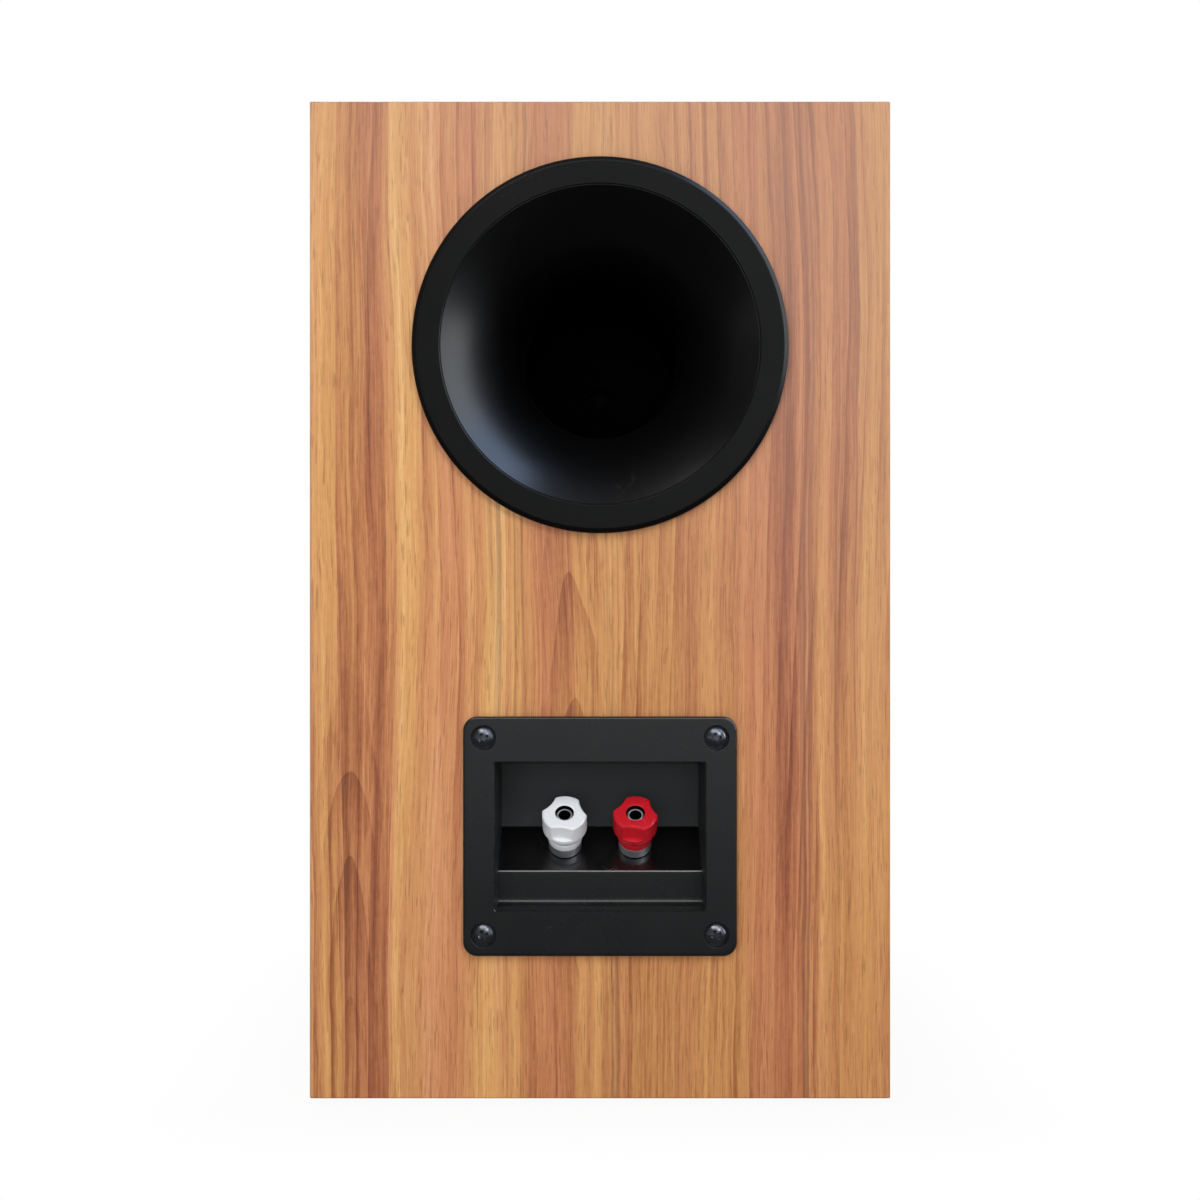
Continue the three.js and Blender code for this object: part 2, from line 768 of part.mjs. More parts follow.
function hexNut() {
  const shape = new THREE.Shape();
  const cornerRadius = hexNutWidth / Math.sqrt(3);
  for (let i = 0; i < 6; i++) {
    const angle = (i * Math.PI) / 3;
    const corner = [cornerRadius * Math.cos(angle), cornerRadius * Math.sin(angle)];
    if (i === 0) shape.moveTo(...corner);
    else shape.lineTo(...corner);
  }
  shape.closePath();
  shape.holes.push(new THREE.Path().absarc(0, 0, postHoleRadius, 0, 2 * Math.PI, true));
  const top = -cupWall - seatGap - tagThickness - seatGap;
  return slab(shape, top - hexNutHeight, top, fineSteps / 2);
}

function buildPost(cup, colour, side, capMaterial) {
  const post = new THREE.Group();
  post.applyMatrix4(postPlacement(side));
  cup.add(post);
  add(post, `${colour}_post_stud`, postStud(), nickel);
  add(post, `${colour}_post_collar`, postCollar(), nickel);
  add(post, `${colour}_post_insert`, postInsert(), brass);
  add(post, `${colour}_post_cap`, postCap(), capMaterial);
  add(post, `${colour}_post_tag`, solderTag(), brass);
  add(post, `${colour}_post_nut`, hexNut(), steel);
}

function buildTerminals(parent) {
  const cup = groupAt(parent, 0, rearFace, cupHeight);
  add(cup, 'terminal_cup', terminalCup(), blackPlastic);
  screwPlaces().forEach(([x, z], i) => {
    const place = groupAt(cup, x, screwSeat + seatGap / 2, z);
    add(place, `plate_screw_${i + 1}`, plateScrew(), glossBlack);
  });
  buildPost(cup, 'white', 1, whitePlastic);
  buildPost(cup, 'red', -1, redPlastic);
}

// ---- Crossover, drawn with the board's top at z = 0 ----
function crossoverBoard() {
  const board = new THREE.BoxGeometry(boardWidth, boardLength, boardThickness);
  const standoffs = [];
  const x = boardWidth / 2 - standoffInset;
  const y = boardLength / 2 - standoffInset;
  for (const [across, along] of [[-x, -y], [x, -y], [-x, y], [x, y]]) {
    const post = bar(standoffRadius, 0, standoffHeight + boardThickness / 2, fineSteps);
    standoffs.push(post.rotateX(Math.PI / 2).translate(across, along, -boardThickness - standoffHeight));
  }
  return fuse(board.translate(0, 0, -boardThickness / 2), standoffs);
}

function inductor() {
  const rim = inductorRadius + inductorFlange;
  const top = inductorHeight;
  return revolve([
    [inductorCore, 0],
    [rim, 0],
    [rim, inductorFlange],
    [inductorRadius, inductorFlange],
    [inductorRadius, top - inductorFlange],
    [rim, top - inductorFlange],
    [rim, top],
    [inductorCore, top],
  ], smallSteps).rotateX(Math.PI / 2);
}

function buildCrossover(parent) {
  const board = groupAt(parent, 0, boardCentreY, boardTop);
  add(board, 'crossover_board', crossoverBoard(), greenBoard);
  const partsX = boardWidth / 2 - partsInset;
  add(groupAt(board, -partsX, 0, seatGap), 'woofer_inductor', inductor(), copper);
  const capacitor = bar(capacitorRadius, -capacitorLength / 2, capacitorLength / 2, smallSteps);
  const capacitorPlace = groupAt(board, partsX, 0, capacitorRadius + seatGap);
  add(capacitorPlace, 'tweeter_capacitor', capacitor, glossBlack);
  const resistor = new THREE.BoxGeometry(resistorLength, resistorSide, resistorSide);
  const resistorY = resistorInset - boardLength / 2;
  const resistorPlace = groupAt(board, 0, resistorY, resistorSide / 2 + seatGap);
  add(resistorPlace, 'tweeter_resistor', resistor, whitePlastic);
}

// ---- Woofer, drawn with its frame's face at y = 0 and +Y into the cabinet ----
function basket() {
  const seatRadius = rollOuterRadius - rollLap;
  const recessRadius = seatRadius + rollFlange + 2 * seatGap;
  const ledgeRadius = spiderRadius - spiderLedge;
  const ledgeDepth = spiderDepth + spiderSkin + seatGap;
  const shell = revolve([
    [wooferFlangeRadius, 0],
    [wooferFlangeRadius, wooferFlange],
    [wooferBodyRadius, wooferFlange],
    [wooferBodyRadius, wooferFlange + basketShoulder],
    [basketRearRadius, basketDepth - basketHeel],
    [basketRearRadius, basketDepth],
    [basketRearHole, basketDepth],
    [basketRearHole, basketDepth - basketWall],
    [ledgeRadius, basketDepth - basketWall],
    [ledgeRadius, ledgeDepth],
    [spiderRadius + seatGap, ledgeDepth],
    [spiderRadius + seatGap, spiderDepth - spiderSkin],
    [seatRadius, wooferFlange + basketShoulder / 2],
    [seatRadius, rollSeat],
    [recessRadius, rollSeat],
    [recessRadius, 0],
  ], largeSteps);
  const windowFrom = wooferFlange + windowFrontRail;
  const windowTo = spiderDepth - windowRearRail;
  const windows = [];
  for (let i = 0; i < basketWindows; i++) {
    const wedge = new THREE.Shape();
    wedge.moveTo(0, 0);
    wedge.absarc(0, 0, wooferFlangeRadius, -windowAngle / 2, windowAngle / 2);
    wedge.closePath();
    windows.push(slab(wedge, windowFrom, windowTo).rotateY((i * 2 * Math.PI) / basketWindows));
  }
  return cut(shell, windows);
}

// A skin of even thickness either side of a line of [radius, y] points.
function skin(line, thickness) {
  const near = line.map(([radius, y]) => [radius, y - thickness / 2]);
  const far = line.map(([radius, y]) => [radius, y + thickness / 2]).reverse();
  return [...near, ...far];
}

function halfRoll(innerRadius, outerRadius, height, y, steps) {
  const middle = (innerRadius + outerRadius) / 2;
  const half = (outerRadius - innerRadius) / 2;
  const line = [];
  for (let step = 0; step <= steps; step++) {
    const angle = Math.PI * (1 - step / steps);
    line.push([middle + half * Math.cos(angle), y - height * Math.sin(angle)]);
  }
  return line;
}

function wooferSurround() {
  const y = rollSeat - glueGap - rollSkin / 2;
  const line = [
    ...halfRoll(rollInnerRadius + seatGap, rollOuterRadius, rollHeight, y, rollSteps),
    [rollOuterRadius - rollLap + rollFlange, y],
  ];
  return revolve(skin(line, rollSkin), largeSteps);
}

// Depth of the cone's middle line at a radius.
function coneLineAt(radius) {
  const share = (rollInnerRadius - radius) / (rollInnerRadius - coneNeckRadius);
  return rollSeat + coneSkin + coneDepth * share - coneCurve * Math.sin(Math.PI * share);
}

function wooferCone() {
  const line = [];
  for (let step = 0; step <= coneSteps; step++) {
    const radius = rollInnerRadius + ((coneNeckRadius - rollInnerRadius) * step) / coneSteps;
    line.push([radius, coneLineAt(radius)]);
  }
  return revolve(skin(line, coneSkin), largeSteps);
}

// A shallow dome's outline from its rim at y to its top, which is height nearer the front.
function domeLine(radius, height, y, steps) {
  const sphere = (radius * radius + height * height) / (2 * height);
  const spread = Math.asin(radius / sphere);
  const line = [];
  for (let step = 0; step <= steps; step++) {
    const angle = spread * (1 - step / steps);
    line.push([sphere * Math.sin(angle), y - height + sphere * (1 - Math.cos(angle))]);
  }
  return line;
}

function domeShell(radius, height, y, thickness, steps) {
  const far = domeLine(radius, height, y + thickness, steps);
  return revolve([...domeLine(radius, height, y, steps).reverse(), ...far], smallSteps);
}

function wooferSpider() {
  const inner = coilRadius + formerWall + seatGap;
  const line = [];
  const steps = spiderRipples * 2 + 1;
  for (let step = 0; step <= steps; step++) {
    const wave = step === 0 || step === steps ? 0 : spiderRipple * (-1) ** step;
    line.push([inner + ((spiderRadius - inner) * step) / steps, spiderDepth - wave]);
  }
  return revolve(skin(line, spiderSkin), smallSteps);
}

function voiceCoil(innerRadius, wall, windingWall, start, windingStart, end) {
  return revolve([
    [innerRadius, start],
    [innerRadius, end],
    [innerRadius + wall + windingWall, end],
    [innerRadius + wall + windingWall, windingStart],
    [innerRadius + wall, windingStart],
    [innerRadius + wall, start],
  ], smallSteps);
}

// Rear plate and centre pole in one piece; the pole runs forward to poleStart.
function yoke(ventRadius, poleRadius, plateRadius, poleStart, plateStart, plateEnd) {
  return revolve([
    [ventRadius, poleStart],
    [poleRadius, poleStart],
    [poleRadius, plateStart],
    [plateRadius, plateStart],
    [plateRadius, plateEnd],
    [ventRadius, plateEnd],
  ], smallSteps);
}

function buildWoofer(parent) {
  const woofer = groupAt(parent, 0, baffleFace, wooferHeight);
  const magnetStart = basketDepth + polePlate;
  const yokeStart = magnetStart + magnetHeight;
  const gapRadius = coilRadius + formerWall + coilWall + coilAirGap;
  const windingMiddle = basketDepth + polePlate / 2;
  const winding = [windingMiddle - coilHeight / 2, windingMiddle + coilHeight / 2];
  const coneNeck = coneLineAt(coneNeckRadius);
  const domeRim = coneLineAt(capDomeRadius) - coneSkin / 2 - seatGap - capDomeSkin;
  add(woofer, 'woofer_basket', basket(), blackPlastic);
  add(woofer, 'woofer_surround', wooferSurround(), rubber);
  add(woofer, 'woofer_cone', wooferCone(), pulp);
  const dustCap = domeShell(capDomeRadius, capDomeHeight, domeRim, capDomeSkin, domeSteps);
  add(woofer, 'woofer_dust_cap', dustCap, pulp);
  add(woofer, 'woofer_spider', wooferSpider(), wadding);
  const coil = voiceCoil(coilRadius, formerWall, coilWall, coneNeck, ...winding);
  add(woofer, 'woofer_voice_coil', coil, copper);
  const topPlate = washer(gapRadius, polePlateRadius, basketDepth, magnetStart, smallSteps);
  add(woofer, 'woofer_top_plate', topPlate, steel);
  const magnet = washer(magnetCore, magnetRadius, magnetStart, yokeStart, largeSteps);
  add(woofer, 'woofer_magnet', magnet, ferrite);
  const poleRadius = coilRadius - coilAirGap;
  const yokeEnd = yokeStart + polePlate;
  const wooferYoke = yoke(poleVentRadius, poleRadius, yokeRadius, basketDepth, yokeStart, yokeEnd);
  add(woofer, 'woofer_yoke', wooferYoke, steel);
}

// ---- Tweeter, drawn with its faceplate's face at y = 0 and +Y into the cabinet ----
function faceplate() {
  const horn = [];
  for (let step = 0; step <= hornSteps; step++) {
    const angle = (step / hornSteps) * (Math.PI / 2);
    const radius = hornRadius + (hornThroatRadius - hornRadius) * Math.sin(angle);
    horn.push([radius, (tweeterFlange - hornThroatLand) * (1 - Math.cos(angle))]);
  }
  const rimInner = domeRollOuter + domeRollFlange + seatGap;
  return revolve([
    ...horn,
    [hornThroatRadius, tweeterFlange],
    [rimInner, tweeterFlange],
    [rimInner, tweeterFlange + tweeterRim],
    [tweeterPlateRadius, tweeterFlange + tweeterRim],
    [tweeterPlateRadius, tweeterFlange],
    [tweeterFlangeRadius, tweeterFlange],
    [tweeterFlangeRadius, faceplateChamfer],
    [tweeterFlangeRadius - faceplateChamfer, 0],
  ], largeSteps);
}

function buildTweeter(parent) {
  const tweeter = groupAt(parent, 0, baffleFace, tweeterHeight);
  const plateStart = tweeterFlange + tweeterRim;
  const magnetStart = plateStart + tweeterPlate;
  const yokeStart = magnetStart + tweeterMagnetHeight;
  const membrane = tweeterFlange + domeSkin / 2 + seatGap;
  const rollLine = [
    ...halfRoll(domeRadius + seatGap, domeRollOuter, domeRollHeight, membrane, domeSteps),
    [domeRollOuter + domeRollFlange, membrane],
  ];
  const coilInner = domeRadius - formerWall - seatGap;
  const gapRadius = coilInner + formerWall + coilWall + coilAirGap;
  const coilStart = membrane + domeSkin + seatGap;
  const windingMiddle = plateStart + tweeterPlate / 2 + tweeterCoilShift;
  const winding = [windingMiddle - tweeterCoilHeight / 2, windingMiddle + tweeterCoilHeight / 2];
  add(tweeter, 'tweeter_faceplate', faceplate(), blackPlastic);
  add(tweeter, 'tweeter_surround', revolve(skin(rollLine, domeSkin), smallSteps), silk);
  const dome = domeShell(domeRadius, domeHeight, membrane, domeSkin, domeSteps);
  add(tweeter, 'tweeter_dome', dome, silk);
  const coil = voiceCoil(coilInner, formerWall, coilWall, coilStart, ...winding);
  add(tweeter, 'tweeter_voice_coil', coil, copper);
  const topPlate = washer(gapRadius, tweeterPlateRadius, plateStart, magnetStart, smallSteps);
  add(tweeter, 'tweeter_top_plate', topPlate, steel);
  const magnet = washer(tweeterMagnetCore, tweeterMagnetRadius, magnetStart, yokeStart, smallSteps);
  add(tweeter, 'tweeter_magnet', magnet, ferrite);
  const poleRadius = coilInner - coilAirGap;
  const yokeEnd = yokeStart + tweeterPlate;
  const tweeterYoke = yoke(poleVentRadius, poleRadius, tweeterPlateRadius, plateStart, yokeStart, yokeEnd);
  add(tweeter, 'tweeter_yoke', tweeterYoke, steel);
}

// ---- Grille, drawn with the baffle's face at y = 0 and its middle at the cabinet's middle ----
function pegPlaces() {
  return [[-pegX, -pegZ], [pegX, -pegZ], [-pegX, pegZ], [pegX, pegZ]];
}

function grilleFrame() {
  const outline = roundedRectangle(frameWidth, frameHeight, grilleCorner - clothThickness);
  const openingWidth = frameWidth - 2 * grilleBar;
  const barMiddle = crossbarHeight - cabinetHeight / 2;
  const innerTop = frameHeight / 2 - grilleBar;
  const spans = [[-innerTop, barMiddle - crossbarWidth / 2], [barMiddle + crossbarWidth / 2, innerTop]];
  for (const [low, high] of spans) {
    const lift = new THREE.Vector2(0, (low + high) / 2);
    const opening = roundedRectangle(openingWidth, high - low, grilleCorner).getPoints(cornerSteps);
    outline.holes.push(new THREE.Path(opening.map((point) => point.add(lift))));
  }
  const back = -grilleStandOff;
  const frame = slab(outline, back - frameThickness, back);
  const pegs = pegPlaces().map(([x, z]) => {
    const peg = revolve([
      [0, back - frameThickness / 2],
      [pegRadius, back - frameThickness / 2],
      [pegRadius, pegLength - pegRounding],
      [pegRadius - pegRounding, pegLength],
      [0, pegLength],
    ], fineSteps);
    return peg.translate(x, 0, z);
  });
  return fuse(frame, pegs);
}

function grilleCloth() {
  const outside = roundedRectangle(grilleWidth, grilleHeight, grilleCorner);
  const innerCorner = grilleCorner - clothThickness;
  const inside = roundedRectangle(frameWidth + 2 * seatGap, frameHeight + 2 * seatGap, innerCorner);
  const sheet = slab(outside, -grilleDepth, -grilleStandOff);
  return cut(sheet, [slab(inside, clothThickness - grilleDepth, overrun)]);
}

function pegSocket() {
  return revolve([
    [0, socketDepth],
    [socketRadius, socketDepth],
    [socketRadius, seatGap],
    [socketBore, seatGap],
    [socketBore, socketDepth - socketFloor + seatGap],
    [0, socketDepth - socketFloor + seatGap],
  ], fineSteps);
}

function buildGrille(parent) {
  const grille = groupAt(parent, 0, baffleFace, cabinetHeight / 2);
  add(grille, 'grille_frame', grilleFrame(), blackPlastic);
  add(grille, 'grille_cloth', grilleCloth(), cloth);
  const names = ['lower_left', 'lower_right', 'upper_left', 'upper_right'];
  pegPlaces().forEach(([x, z], i) => {
    add(groupAt(grille, x, 0, z), `${names[i]}_peg_socket`, pegSocket(), rubber);
  });
}

// ---- The whole loudspeaker ----
const speaker = new THREE.Group();
const cabinet = groupAt(speaker, 0, 0, footHeight);
buildCabinet(cabinet);
buildPort(cabinet);
buildTerminals(cabinet);
buildCrossover(cabinet);
buildWoofer(cabinet);
buildTweeter(cabinet);
buildGrille(cabinet);

export default speaker;
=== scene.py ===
"""The looks of a rear-ported two-way bookshelf loudspeaker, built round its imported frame.
Metres, +Z up, the drivers face -Y and the port and terminals face +Y."""

import json
import math
from contextlib import contextmanager
from functools import partial

import bmesh
import bpy
from mathutils import Matrix, Vector, noise as bumpy


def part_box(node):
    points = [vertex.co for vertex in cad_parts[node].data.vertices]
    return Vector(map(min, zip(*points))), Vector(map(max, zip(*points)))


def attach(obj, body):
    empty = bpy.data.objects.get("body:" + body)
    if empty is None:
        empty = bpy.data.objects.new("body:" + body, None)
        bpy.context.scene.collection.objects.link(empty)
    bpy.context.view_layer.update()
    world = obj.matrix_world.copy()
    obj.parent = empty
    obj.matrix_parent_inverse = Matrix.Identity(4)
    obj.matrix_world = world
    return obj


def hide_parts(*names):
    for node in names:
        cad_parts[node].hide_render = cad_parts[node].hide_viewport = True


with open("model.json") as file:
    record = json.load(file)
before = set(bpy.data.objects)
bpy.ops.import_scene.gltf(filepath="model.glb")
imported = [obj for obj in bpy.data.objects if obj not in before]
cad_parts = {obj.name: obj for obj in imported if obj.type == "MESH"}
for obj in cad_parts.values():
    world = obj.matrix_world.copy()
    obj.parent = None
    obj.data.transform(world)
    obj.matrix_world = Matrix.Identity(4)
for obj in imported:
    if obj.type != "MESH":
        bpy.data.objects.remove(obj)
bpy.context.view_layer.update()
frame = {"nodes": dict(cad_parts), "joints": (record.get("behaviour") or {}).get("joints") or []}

MM = 0.001
QUARTER = math.pi / 2
TURN = 2 * math.pi

# ---- Measures of the frame that the pieces share ----
REAR_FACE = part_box("rear_panel")[1].y
INNER_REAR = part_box("rear_panel")[0].y
WALL = REAR_FACE - INNER_REAR
BAFFLE_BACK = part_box("left_panel")[0].y
BAFFLE_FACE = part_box("front_baffle")[0].y
CABINET_LOW = Vector((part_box("left_panel")[0].x, BAFFLE_BACK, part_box("bottom_panel")[0].z))
CABINET_HIGH = Vector((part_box("right_panel")[1].x, REAR_FACE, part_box("top_panel")[1].z))
CABINET_MIDDLE = (CABINET_LOW + CABINET_HIGH) / 2


def middle_of(node):
    low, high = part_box(node)
    return (low + high) / 2


# ---- Camera ----
CAMERA_DISTANCE = 0.58  # lens to rear face
CAMERA_LENS = 59.45

camera_data = bpy.data.cameras.new("camera")
camera_data.lens = CAMERA_LENS
camera_data.sensor_width = 36
camera = bpy.data.objects.new("camera", camera_data)
camera.location = (0, REAR_FACE + CAMERA_DISTANCE, CABINET_MIDDLE.z)
camera.rotation_euler = (QUARTER, 0, math.pi)
bpy.context.scene.collection.objects.link(camera)
bpy.context.scene.camera = camera


# ---- Shader helpers ----
SOCKET = bpy.types.NodeSocket


def paint(red, green, blue):
    """A colour written in 0 to 255 screen values, as the linear one that a shader takes."""
    def linear(value):
        share = value / 255
        return share / 12.92 if share <= 0.04045 else ((share + 0.055) / 1.055) ** 2.4
    return (linear(red), linear(green), linear(blue), 1)


def wire(node, **values):
    """Sets or links a node's inputs by name; an underscore stands for a space, _0 for a number."""
    for key, value in values.items():
        socket = node.inputs[int(key[1:]) if key.startswith("_") else key.replace("_", " ")]
        if isinstance(value, SOCKET):
            node.id_data.links.new(value, socket)
        else:
            socket.default_value = value
    return node


def add_node(tree, kind, settings=None, **values):
    node = tree.nodes.new(kind)
    for key, value in (settings or {}).items():
        setattr(node, key, value)
    return wire(node, **values)


def calc(operation, *values):
    """A maths node, in the tree of the first of its values that is a socket."""
    tree = next(value.id_data for value in values if isinstance(value, SOCKET))
    inputs = {f"_{i}": value for i, value in enumerate(values)}
    return add_node(tree, "ShaderNodeMath", {"operation": operation}, **inputs).outputs[0]


plus, minus, times, times_plus, power, larger, magnitude = (
    partial(calc, operation)
    for operation in ("ADD", "SUBTRACT", "MULTIPLY", "MULTIPLY_ADD", "POWER", "MAXIMUM", "ABSOLUTE")
)


def smooth_range(value, low, high, out_low=0.0, out_high=1.0):
    return add_node(
        value.id_data, "ShaderNodeMapRange", {"interpolation_type": "SMOOTHSTEP"}, Value=value,
        From_Min=low, From_Max=high, To_Min=out_low, To_Max=out_high,
    ).outputs["Result"]


def mix_colours(factor, first, second):
    """Each colour is a socket or three screen values."""
    first, second = (one if isinstance(one, SOCKET) else paint(*one) for one in (first, second))
    settings = {"data_type": "RGBA", "blend_type": "MIX"}
    return add_node(factor.id_data, "ShaderNodeMix", settings, _0=factor, _6=first, _7=second).outputs[2]


def colour_ramp(factor, stops):
    """Even stops from 0 to 1, each in screen values."""
    node = add_node(factor.id_data, "ShaderNodeValToRGB", _0=factor)
    elements = node.color_ramp.elements
    while len(elements) < len(stops):
        elements.new(0.5)
    for i, (element, colour) in enumerate(zip(elements, stops)):
        element.position = i / (len(stops) - 1)
        element.color = paint(*colour)
    return node.outputs["Color"]


def noise(vector, scale, detail=2.0, roughness=0.5):
    return add_node(
        vector.id_data, "ShaderNodeTexNoise", Vector=vector, Scale=scale, Detail=detail, Roughness=roughness,
    ).outputs[0]


def split(tree, vector):
    return add_node(tree, "ShaderNodeSeparateXYZ", _0=vector).outputs


def effect(name, inputs, outputs):
    """A shader node group. An input without a default is a vector, and an output called Colour is one.
    Returns the tree, the sockets that it is given and the node that takes its results."""
    tree = bpy.data.node_groups.new(name, "ShaderNodeTree")
    for label, default in inputs.items():
        kind = "NodeSocketVector" if default is None else "NodeSocketFloat"
        socket = tree.interface.new_socket(label, in_out="INPUT", socket_type=kind)
        if default is not None:
            socket.default_value = default
    for label in outputs:
        kind = "NodeSocketColor" if label == "Colour" else "NodeSocketFloat"
        tree.interface.new_socket(label, in_out="OUTPUT", socket_type=kind)
    return tree, tree.nodes.new("NodeGroupInput").outputs, tree.nodes.new("NodeGroupOutput")


def use_effect(tree, group, **values):
    return add_node(tree, "ShaderNodeGroup", {"node_tree": group}, **values).outputs


def new_material(name, roughness=0.5, metallic=0.0, specular=0.5):
    """A material, its tree, its shader and the object's own place."""
    material = bpy.data.materials.new(name)
    material.use_nodes = True
    tree = material.node_tree
    shader = wire(
        tree.nodes["Principled BSDF"], Roughness=roughness, Metallic=metallic, Specular_IOR_Level=specular,
    )
    return material, tree, shader, object_place(tree)


def object_place(tree):
    return add_node(tree, "ShaderNodeTexCoord").outputs["Object"]


def bump(shader, height, distance, strength=1.0):
    node = add_node(height.id_data, "ShaderNodeBump", Height=height, Distance=distance, Strength=strength)
    wire(shader, Normal=node.outputs["Normal"])


# ---- Shared effects ----
def make_moulded_grain():
    """Fine spark-eroded mould texture, with a slow unevenness in its gloss."""
    tree, given, result = effect(
        "moulded_grain", {"Vector": None, "Grain Scale": 2200.0}, ["Height", "Gloss Shift"],
    )
    grain = noise(given["Vector"], given["Grain Scale"], detail=3.0, roughness=0.6)
    slow = noise(given["Vector"], 45.0, detail=3.0)
    wire(result, Height=grain, Gloss_Shift=minus(slow, 0.5))
    return tree


def make_handling_marks():
    """Faint dust and hairline scratches, as masks from 0 to 1."""
    tree, given, result = effect(
        "handling_marks", {"Vector": None, "Scale": 1.0}, ["Dust", "Scratches"],
    )
    place = add_node(
        tree, "ShaderNodeVectorMath", {"operation": "SCALE"}, _0=given["Vector"], Scale=given["Scale"],
    ).outputs[0]
    cloudy = smooth_range(noise(place, 25.0, detail=4.0), 0.45, 0.75)
    specks = smooth_range(noise(place, 1400.0, detail=1.0), 0.66, 0.74)
    waves = add_node(
        tree, "ShaderNodeTexWave", {"bands_direction": "DIAGONAL"}, Vector=place, Scale=60.0,
        Distortion=9.0, Detail=3.0, Detail_Scale=2.0,
    ).outputs["Fac"]
    lines = smooth_range(waves, 0.985, 1.0)
    broken = smooth_range(noise(place, 70.0), 0.5, 0.6)
    wire(result, Dust=times(cloudy, specks), Scratches=times(lines, broken))
    return tree


def make_turned_marks():
    """Lathe rings along the Z axis of the vector, for turned and plated metal."""
    tree, given, result = effect("turned_marks", {"Vector": None, "Rings": 6000.0}, ["Height", "Stain"])
    rings = add_node(
        tree, "ShaderNodeTexNoise", {"noise_dimensions": "1D"}, W=split(tree, given["Vector"])["Z"],
        Scale=given["Rings"], Detail=2.0,
    ).outputs[0]
    stain = smooth_range(noise(given["Vector"], 260.0, detail=3.0), 0.4, 0.75)
    wire(result, Height=rings, Stain=stain)
    return tree


def make_woven_threads():
    """Crossing threads in the plane of the vector's X and Y, with a slow unevenness."""
    tree, given, result = effect("woven_threads", {"Vector": None, "Threads": 900.0}, ["Height", "Thread"])
    place = split(tree, given["Vector"])
    angle = times(given["Threads"], math.pi)
    waves = [calc("SINE", times(place[axis], angle)) for axis in ("X", "Y")]
    over = times_plus(times(*waves), 0.5, 0.5)
    fuzz = noise(given["Vector"], 3000.0, detail=2.0)
    wire(result, Height=times_plus(fuzz, 0.35, over), Thread=over)
    return tree


GRAIN = make_moulded_grain()
MARKS = make_handling_marks()
TURNED = make_turned_marks()
THREADS = make_woven_threads()

# ---- Walnut wrap ----
GOLDEN = [(124, 74, 46), (172, 108, 64), (204, 144, 88), (222, 168, 104), (238, 196, 134)]
RUSSET = [(104, 58, 42), (154, 88, 60), (192, 124, 84), (212, 146, 100), (226, 172, 126)]
HEART_REPEAT = 0.064  # distance between two hearts of the printed figure
HEART_DROP = 0.0575  # each heart further across stands this much lower
STREAK_GROUPS = [(-0.064, 0.017), (-0.004, 0.006)]  # middle and half width of the dark streaks


